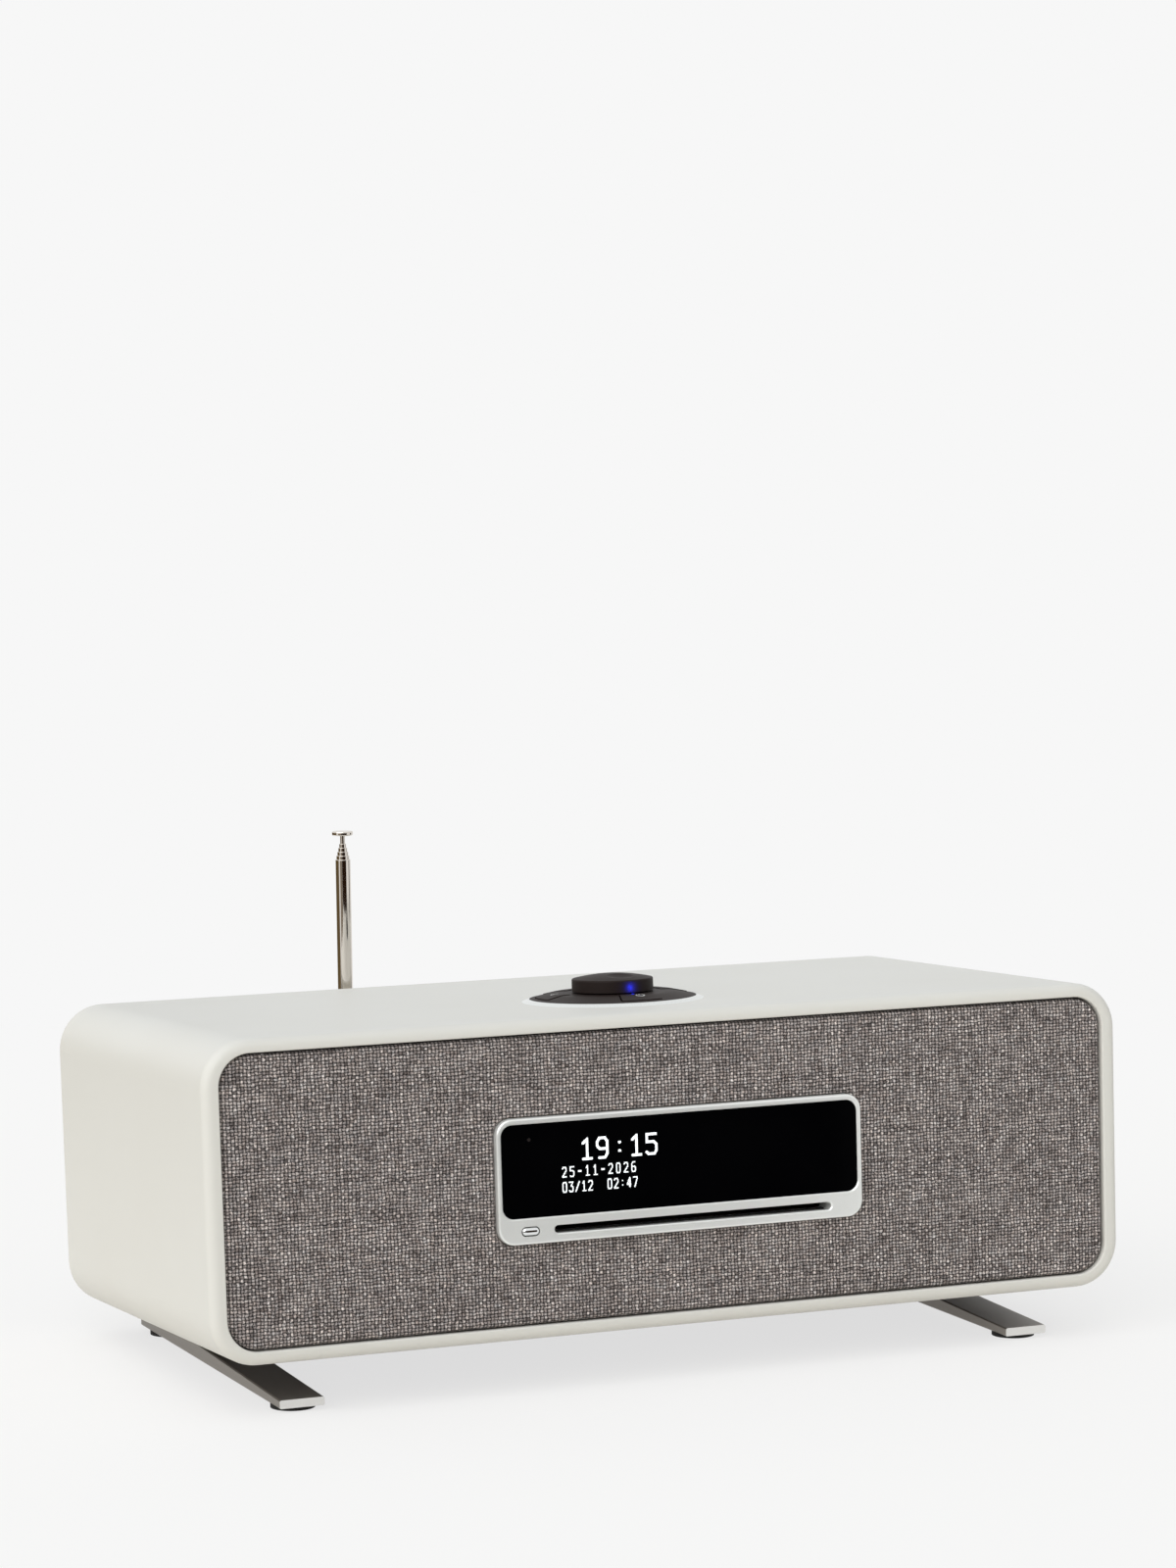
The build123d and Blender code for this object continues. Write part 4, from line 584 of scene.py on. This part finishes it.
dotPlaces = []
pitch = display["pitch"]
for character, middle in display["clock"]:
    left = middle - (display["clockDots"][0] - 1) / 2 * pitch
    for column, row in sorted(strokeDots(character, display["clockDots"], display["clockWeight"])):
        dotPlaces.append((left + column * pitch, display["clockFoot"] + row * pitch, display["fill"]))
for figures, foot, step in display["rows"]:
    for index, character in enumerate(figures):
        left = display["rowStart"] + index * step
        for column, row in sorted(strokeDots(character, display["rowDots"], display["rowWeight"])):
            dotPlaces.append((left + column * pitch, foot + row * pitch, display["rowFill"]))
bm = bmesh.new()
for x, z, fill in dotPlaces:
    spot = Matrix.Translation((x, display["face"] - display["lift"], z)) @ facingFront
    bmesh.ops.create_grid(bm, x_segments=1, y_segments=1, size=pitch * fill / 2, matrix=spot)
bmesh.ops.solidify(bm, geom=bm.faces[:], thickness=display["lift"] / 2)
bmesh.ops.recalc_face_normals(bm, faces=bm.faces)
makePiece("displayDots", bm, litDots, "cabinet")

# Infrared lens: a small dome in the window's corner
lens = {"x": -69.3, "z": 17.3, "radius": 0.75, "rise": 0.12, "sides": 24, "slope": 0.45}
bm = bmesh.new()
bmesh.ops.create_circle(bm, cap_ends=True, radius=lens["radius"], segments=lens["sides"])
bmesh.ops.inset_region(bm, faces=bm.faces[:], thickness=lens["radius"] * lens["slope"], depth=0)
for face in bm.faces:
    if len(face.verts) == lens["sides"]:
        bmesh.ops.translate(bm, vec=(0, 0, lens["rise"]), verts=face.verts)
spot = Matrix.Translation((lens["x"], display["face"], lens["z"])) @ facingFront
bmesh.ops.transform(bm, matrix=spot, verts=bm.verts)
makePiece("irLens", bm, smokedLens, "cabinet", sharp=60)
print("display made:", len(dotPlaces), "dots")

# Printed marks on the sector buttons, laid on the plate's crown; up is away from the front
marks = {
    "dialY": 69.0, "crownRadius": 26.0, "crownRound": 18.0, "crownHeight": 70.4, "slope": 2.2 / 10.2,
    "lift": 0.28, "ink": 0.02, "size": 1.3, "line": 0.36, "radius": 26.4, "barSteps": 6, "arcSteps": 32,
    "angles": {
        "power_button": -86.5, "source_button": 6.0, "preset_button": 62.0, "menu_button": 118.0,
        "back_button": 174.0,
    },
}
# What is drawn on each: arcs as radius, width, first and swept degrees, and bars from end to end
signs = {
    "power_button": {"arcs": [(1.35, marks["line"], 125, 290)], "bars": [((0, 0.35), (0, 1.75))]},
    "source_button": {"arcs": [], "bars": [
        ((-1.4, 0), (0.6, 0)), ((-0.1, 0.75), (0.68, -0.05)), ((-0.1, -0.75), (0.68, 0.05)),
        ((1.3, -1.1), (1.3, 1.1)),
    ]},
    "preset_button": {"arcs": [(1.25, marks["line"], 0, 360), (0.3, 0.5, 0, 360)], "bars": []},
    "menu_button": {"arcs": [], "bars": [((-1.3, rise), (1.3, rise)) for rise in (-0.85, 0, 0.85)]},
    "back_button": {"arcs": [], "bars": [
        ((-1.3, 0), (1.4, 0)), ((-1.38, -0.05), (-0.5, 0.85)), ((-1.38, 0.05), (-0.5, -0.85)),
    ]},
}


def crownHeight(radius):  # the plate is flat, then rounds over into a cone
    lean = math.atan(marks["slope"])
    start = marks["crownRadius"] - marks["crownRound"] * math.tan(lean / 2)
    end = start + marks["crownRound"] * math.sin(lean)
    out = radius - start
    if radius < start:
        return marks["crownHeight"]
    if radius < end:
        return marks["crownHeight"] - marks["crownRound"] + math.sqrt(marks["crownRound"] ** 2 - out ** 2)
    return marks["crownHeight"] - (radius - marks["crownRadius"]) * marks["slope"]


def drawBar(bm, start, end, width):
    run = Vector(end) - Vector(start)
    middle = (Vector(end) + Vector(start)) / 2
    spot = Matrix.Translation((middle.x, middle.y, 0)) @ Matrix.Rotation(math.atan2(run.y, run.x), 4, "Z")
    spot = spot @ Matrix.Diagonal((run.length / 2, width / 2, 1, 1))
    bmesh.ops.create_grid(bm, x_segments=marks["barSteps"], y_segments=1, size=1.0, matrix=spot)


def drawArc(bm, radius, width, first, sweep):
    inner, outer = radius - width / 2, radius + width / 2
    turn = Matrix.Rotation(math.radians(first), 4, "Z")
    ends = [bm.verts.new(turn @ Vector((r, 0, 0))) for r in (inner, outer)]
    edge = bm.edges.new(ends)
    bmesh.ops.spin(
        bm, geom=ends + [edge], cent=(0, 0, 0), axis=(0, 0, 1), angle=math.radians(sweep),
        steps=marks["arcSteps"], use_merge=abs(sweep) >= 360,
    )


for name, angle in marks["angles"].items():
    bm = bmesh.new()
    for radius, width, first, sweep in signs[name]["arcs"]:
        drawArc(bm, radius, width, first, sweep)
    for start, end in signs[name]["bars"]:
        drawBar(bm, start, end, marks["line"])
    across = math.radians(angle)
    centre = (marks["radius"] * math.cos(across), marks["radius"] * math.sin(across), 0)
    bmesh.ops.scale(bm, vec=(marks["size"], marks["size"], 1), verts=bm.verts)
    bmesh.ops.translate(bm, vec=centre, verts=bm.verts)
    for vert in bm.verts:
        vert.co.z = crownHeight(math.hypot(vert.co.x, vert.co.y)) + marks["lift"]
        vert.co.y += marks["dialY"]
    bmesh.ops.recalc_face_normals(bm, faces=bm.faces)
    for face in bm.faces:
        if face.normal.z < 0:
            face.normal_flip()
    bmesh.ops.solidify(bm, geom=bm.faces[:], thickness=marks["ink"])
    makePiece(name.split("_")[0] + "Mark", bm, paleInk, name)
print("button marks made")


# A turned part from its half section, as (radius, along) pairs, closed round the y axis through a centre
def turnedPart(section, centre, steps=48, weld=0.0005):
    bm = bmesh.new()
    ring = [bm.verts.new((radius, along, 0)) for radius, along in section]
    edges = [bm.edges.new(pair) for pair in zip(ring, ring[1:] + ring[:1])]
    bmesh.ops.spin(
        bm, geom=ring + edges, cent=(0, 0, 0), axis=(0, 1, 0), angle=math.tau, steps=steps, use_merge=True
    )
    bmesh.ops.remove_doubles(bm, verts=bm.verts, dist=weld)
    bmesh.ops.recalc_face_normals(bm, faces=bm.faces)
    bmesh.ops.translate(bm, vec=centre, verts=bm.verts)
    return bm


# Aerial collar: a nut with a knurled grip between two plain rims. The grip is a hair under the rims.
collar = {
    "x": -68.7, "z": -24.0, "front": 206.0, "length": 10.0, "radius": 7.0, "bore": 4.75,
    "throat": 3.05, "throatLength": 3.0, "frontRound": 0.4, "frontRim": 1.4, "backRim": 1.7, "backRound": 0.9,
    "rimSlope": 0.2, "under": 0.02, "ribs": 32, "ribSteps": 4, "groove": 0.4,
}
length, radius, ribSteps = collar["length"], collar["radius"], collar["ribSteps"]
gripRadius, throatEnd = radius - collar["under"], length - collar["throatLength"]
bm = turnedPart(
    [
        (collar["bore"], 0), (radius - collar["frontRound"], 0), (radius, collar["frontRound"]),
        (radius, collar["frontRim"]), (gripRadius, collar["frontRim"] + collar["rimSlope"]),
        (gripRadius, length - collar["backRim"] - collar["rimSlope"]), (radius, length - collar["backRim"]),
        (radius, length - collar["backRound"]), (radius - collar["backRound"], length),
        (collar["throat"], length), (collar["throat"], throatEnd), (collar["bore"], throatEnd),
    ],
    (0, 0, 0), collar["ribs"] * ribSteps,
)
for vert in bm.verts:
    onGrip = abs(math.hypot(vert.co.x, vert.co.z) - gripRadius) < collar["under"] / 4
    number = round(math.atan2(vert.co.z, vert.co.x) / math.tau * collar["ribs"] * ribSteps)
    if onGrip and number % ribSteps < ribSteps / 2:
        vert.co.x *= 1 - collar["groove"] / radius
        vert.co.z *= 1 - collar["groove"] / radius
bmesh.ops.translate(bm, vec=(collar["x"], collar["front"], collar["z"]), verts=bm.verts)
makePiece("aerialCollar", bm, brightNickel, "cabinet", ["aerial_collar"], sharp=25)

# Rear screws: domed heads with a cross recess
screw = {
    "shank": 1.6, "length": 14.0, "tip": 0.4, "point": 1.2, "head": 3.2, "rise": 1.8, "sides": 32,
    "dome": ((1.0, 0.5), (0.9, 1.05), (0.65, 1.5), (0.33, 1.72)),  # share of the head's radius, and height
    "cross": (3.0, 0.75), "deep": 0.9, "face": 204.0,
    "columns": (-1.5, -0.5, 0.5, 1.5), "spreadX": 101.45, "rows": (-0.5, 0.5), "spreadZ": 112.4,
}
shank, end = screw["shank"], -screw["length"]
shaftSection = [(0, end), (shank * screw["tip"], end), (shank, end + screw["point"]), (shank, 0)]
domeSection = [(screw["head"] * share, height) for share, height in screw["dome"]]
bm = turnedPart(
    shaftSection + [(screw["head"], 0)] + domeSection + [(0, screw["rise"])], (0, 0, 0), screw["sides"]
)
oneHead = bpy.data.meshes.new("oneScrew")
bm.to_mesh(oneHead)
bm.free()
bm = bmesh.new()
bmesh.ops.create_cube(bm, size=1.0)
bmesh.ops.scale(bm, vec=(screw["cross"][0], 2 * screw["deep"], screw["cross"][1]), verts=bm.verts)
bmesh.ops.translate(bm, vec=(0, screw["rise"], 0), verts=bm.verts)
otherArm = bmesh.ops.duplicate(bm, geom=bm.verts[:] + bm.edges[:] + bm.faces[:])["geom"]
otherArm = [part for part in otherArm if isinstance(part, bmesh.types.BMVert)]
bmesh.ops.rotate(bm, cent=(0, 0, 0), matrix=Matrix.Rotation(math.radians(90), 3, "Y"), verts=otherArm)
crossMesh = bpy.data.meshes.new("crossCutter")
bm.to_mesh(crossMesh)
bm.free()
headObject, crossObject = (bpy.data.objects.new(mesh.name, mesh) for mesh in (oneHead, crossMesh))
for helper in (headObject, crossObject):
    scene.collection.objects.link(helper)
cut = headObject.modifiers.new("recess", "BOOLEAN")
cut.operation, cut.object, cut.solver, cut.use_self = "DIFFERENCE", crossObject, "EXACT", True
bpy.context.view_layer.update()
cutHead = bpy.data.meshes.new_from_object(headObject.evaluated_get(bpy.context.evaluated_depsgraph_get()))
for helper in (headObject, crossObject):
    bpy.data.objects.remove(helper)
bm = bmesh.new()
for column in screw["columns"]:
    for row in screw["rows"]:
        before = len(bm.verts)
        bm.from_mesh(cutHead)
        bm.verts.ensure_lookup_table()
        fresh = bm.verts[before:]
        turn = Matrix.Rotation(draws.uniform(0, math.pi / 2), 3, "Y")  # no two stop at the same angle
        bmesh.ops.rotate(bm, cent=(0, 0, 0), matrix=turn, verts=fresh)
        bmesh.ops.translate(
            bm, vec=(column * screw["spreadX"], screw["face"], row * screw["spreadZ"]), verts=fresh
        )
makePiece("rearScrews", bm, blackOxide, "cabinet", ["rear_screws"], sharp=30)

# Rings at the feet of the line jacks, and a fluted nut on the headphone jack, from their half sections
jacks = {
    "face": 205.5, "z": -41.0, "white": 39.0, "red": 59.0, "phone": 84.0,
    "ring": ((4.25, 0), (5.7, 0), (5.7, 0.25), (5.45, 0.45), (4.25, 0.45)),
    "nut": ((3.55, 0), (5.2, 0), (5.2, 0.6), (4.9, 0.85), (3.55, 0.85)),
    "nutSides": 36, "fluteFrom": 4.5, "flute": 0.955,
}
for name, material in (("white", whiteAbs), ("red", redAbs)):
    bm = turnedPart(jacks["ring"], (jacks[name], jacks["face"], jacks["z"]))
    makePiece(name + "JackRing", bm, material, "cabinet", sharp=30)
bm = turnedPart(jacks["nut"], (0, 0, 0), jacks["nutSides"])
for vert in bm.verts:
    reach = math.hypot(vert.co.x, vert.co.z)
    number = round(math.atan2(vert.co.z, vert.co.x) / math.tau * jacks["nutSides"])
    if reach > jacks["fluteFrom"] and number % 2:
        vert.co.x, vert.co.z = vert.co.x * jacks["flute"], vert.co.z * jacks["flute"]
bmesh.ops.translate(bm, vec=(jacks["phone"], jacks["face"], jacks["z"]), verts=bm.verts)
makePiece("headphoneNut", bm, groundSteel, "cabinet", sharp=25)
print("rear hardware made")

# Floor, light and background. The floor shows as plain paper with a light shadow, also in reflections.
studio = {
    "paper": "#F7F7F7", "shownFloor": "#FBFBFD", "floor": "#F8F4EC", "floorHalf": 60.0, "shadow": 0.25,
    "fade": (0.45, 1.1), "sky": 0.71, "zenith": "#E2F0FF", "level": "#FFF9EF",
    "sun": 1.75, "sunFrom": (-0.65, -0.4, 0.66), "softness": 70.0,
}


def shownToEye(tree):  # 1 on rays that show the background itself, 0 on rays that light the object
    rays = addNode(tree, "ShaderNodeLightPath")
    seen = rays.outputs["Is Camera Ray"]
    for kind in ("Is Glossy Ray", "Is Transmission Ray"):
        either = addNode(tree, "ShaderNodeMath", {0: seen, 1: rays.outputs[kind]}, operation="MAXIMUM")
        seen = either.outputs[0]
    return seen


bm = bmesh.new()
bmesh.ops.create_grid(bm, x_segments=1, y_segments=1, size=studio["floorHalf"])
floorMesh = bpy.data.meshes.new("paperFloor")
bm.to_mesh(floorMesh)
bm.free()
# Seamless paper: matt and near white. Its shadow fades out with distance, so that no horizon shows.
paper, tree, shader = startMaterial(
    "seamlessPaper", {"Base Color": linear(studio["floor"]), "Roughness": 1.0, "Specular IOR Level": 0.0}
)
place = addNode(tree, "ShaderNodeTexCoord").outputs["Object"]
away = addNode(tree, "ShaderNodeVectorMath", {0: place}, operation="LENGTH")
faded = addNode(
    tree, "ShaderNodeMapRange",
    {"Value": away.outputs["Value"], "From Min": studio["fade"][0], "From Max": studio["fade"][1],
     "To Min": 1 - studio["shadow"], "To Max": 1.0},
    interpolation_type="SMOOTHSTEP",
).outputs["Result"]
tone = addNode(
    tree, "ShaderNodeMix", {0: faded, 6: linear(studio["shownFloor"]), 7: linear(studio["paper"])},
    data_type="RGBA",
).outputs[2]
glow = addNode(tree, "ShaderNodeEmission", {"Color": tone, "Strength": 1.0})
share = addNode(tree, "ShaderNodeMath", {0: shownToEye(tree), 1: faded}, operation="MULTIPLY")
sheetOfPaper = addNode(
    tree, "ShaderNodeMixShader", {0: share.outputs[0], 1: shader.outputs[0], 2: glow.outputs[0]}
)
tree.links.new(sheetOfPaper.outputs[0], tree.nodes["Material Output"].inputs["Surface"])
floorMesh.materials.append(paper)
floor = bpy.data.objects.new("paperFloor", floorMesh)
scene.collection.objects.link(floor)

# Cards round the set, seen only in reflections, so that bright metal has dark to show as well as pale.
# Each is a standing arc round the aerial: from and to, in degrees from the camera's side, and its colour.
cards = {
    "centre": (-0.069, 0.105), "towards": -112.9, "radius": 0.62, "height": 0.2, "steps": 24,
    "arcs": ((-170, -68, "#6A5A3F"), (-47, -14, "#8B8175"), (-13, 52, "#2B1C12"), (97, 112, "#241A14")),
}
pivot = (*cards["centre"], 0)
for index, (first, last, colour) in enumerate(cards["arcs"]):
    bm = bmesh.new()
    start = (cards["centre"][0] + cards["radius"], cards["centre"][1])
    ends = [bm.verts.new((*start, height)) for height in (0.0, cards["height"])]
    edge = bm.edges.new(ends)
    bmesh.ops.rotate(
        bm, cent=pivot, matrix=Matrix.Rotation(math.radians(cards["towards"] + first), 3, "Z"), verts=ends
    )
    bmesh.ops.spin(
        bm, geom=ends + [edge], cent=pivot, axis=(0, 0, 1), angle=math.radians(last - first),
        steps=cards["steps"],
    )
    cardMesh = bpy.data.meshes.new(f"studioCard{index}")
    bm.to_mesh(cardMesh)
    bm.free()
    # Painted card: flat, matt, and the same from every side
    painted, tree, shader = startMaterial(
        f"paintedCard{index}",
        {"Base Color": linear("#000000"), "Specular IOR Level": 0.0, "Emission Color": linear(colour),
         "Emission Strength": 1.0},
    )
    cardMesh.materials.append(painted)
    card = bpy.data.objects.new(f"studioCard{index}", cardMesh)
    scene.collection.objects.link(card)
    card.visible_camera = card.visible_diffuse = card.visible_shadow = card.visible_transmission = False

scene.world = bpy.data.worlds.new("studio")
scene.world.use_nodes = True
tree = scene.world.node_tree
tree.nodes.clear()
upwards = addNode(
    tree, "ShaderNodeSeparateXYZ", {0: addNode(tree, "ShaderNodeTexCoord").outputs["Generated"]}
).outputs["Z"]
skyColour = addNode(
    tree, "ShaderNodeMix", {0: upwards, 6: linear(studio["level"]), 7: linear(studio["zenith"])},
    data_type="RGBA",
)
light = addNode(tree, "ShaderNodeBackground", {"Color": skyColour.outputs[2], "Strength": studio["sky"]})
shown = addNode(tree, "ShaderNodeBackground", {"Color": linear(studio["paper"]), "Strength": 1.0})
blend = addNode(tree, "ShaderNodeMixShader", {0: shownToEye(tree), 1: light.outputs[0], 2: shown.outputs[0]})
addNode(tree, "ShaderNodeOutputWorld", {"Surface": blend.outputs[0]})

# The power lamp's own light, a small disc over its lens that faces the knob and colours the knob's wall
glimmer = {
    "radius": 20.8, "angle": -85.0, "height": 73.0, "colour": "#2433FF", "watts": 0.0014, "size": 0.0016,
    "spread": 125.0,
}
across = math.radians(glimmer["angle"])
lampData = bpy.data.lights.new("powerGlimmer", "AREA")
lampData.shape, lampData.size, lampData.spread = "DISK", glimmer["size"], math.radians(glimmer["spread"])
lampData.energy, lampData.color = glimmer["watts"], linear(glimmer["colour"])[:3]
lampLight = bpy.data.objects.new("powerGlimmer", lampData)
inwards = Vector((-math.cos(across), -math.sin(across), 0))
lampLight.location = toRow @ (Vector((0, marks["dialY"], glimmer["height"])) - inwards * glimmer["radius"])
lampLight.rotation_mode = "QUATERNION"
lampLight.rotation_quaternion = (toRow.to_3x3() @ inwards).to_track_quat("-Z", "Y")
scene.collection.objects.link(lampLight)

sunLamp = bpy.data.lights.new("softKey", "SUN")
sunLamp.energy, sunLamp.angle = studio["sun"], math.radians(studio["softness"])
sun = bpy.data.objects.new("softKey", sunLamp)
sun.rotation_mode = "QUATERNION"
sun.rotation_quaternion = Vector(studio["sunFrom"]).to_track_quat("Z", "Y")
scene.collection.objects.link(sun)

# Camera: where the photograph was taken from, with the object low in a tall frame
view = {
    "right": (0.92090, -0.38965, -0.01031), "up": (0.07214, 0.14439, 0.98689),
    "back": (-0.38305, -0.90958, 0.16108), "place": (-0.7594, -1.81689, 0.40676),
    "sensor": 36.0, "lens": 103.0, "shift": (-0.0015, 0.2276),
}
lensData = bpy.data.cameras.new("camera")
lensData.sensor_fit, lensData.sensor_height, lensData.lens = "VERTICAL", view["sensor"], view["lens"]
lensData.shift_x, lensData.shift_y = view["shift"]
camera = bpy.data.objects.new("camera", lensData)
turn = Matrix((view["right"], view["up"], view["back"])).transposed().to_4x4()
camera.matrix_world = Matrix.Translation(view["place"]) @ turn
scene.collection.objects.link(camera)
scene.camera = camera
scene.view_settings.view_transform = "Standard"
print("studio made")
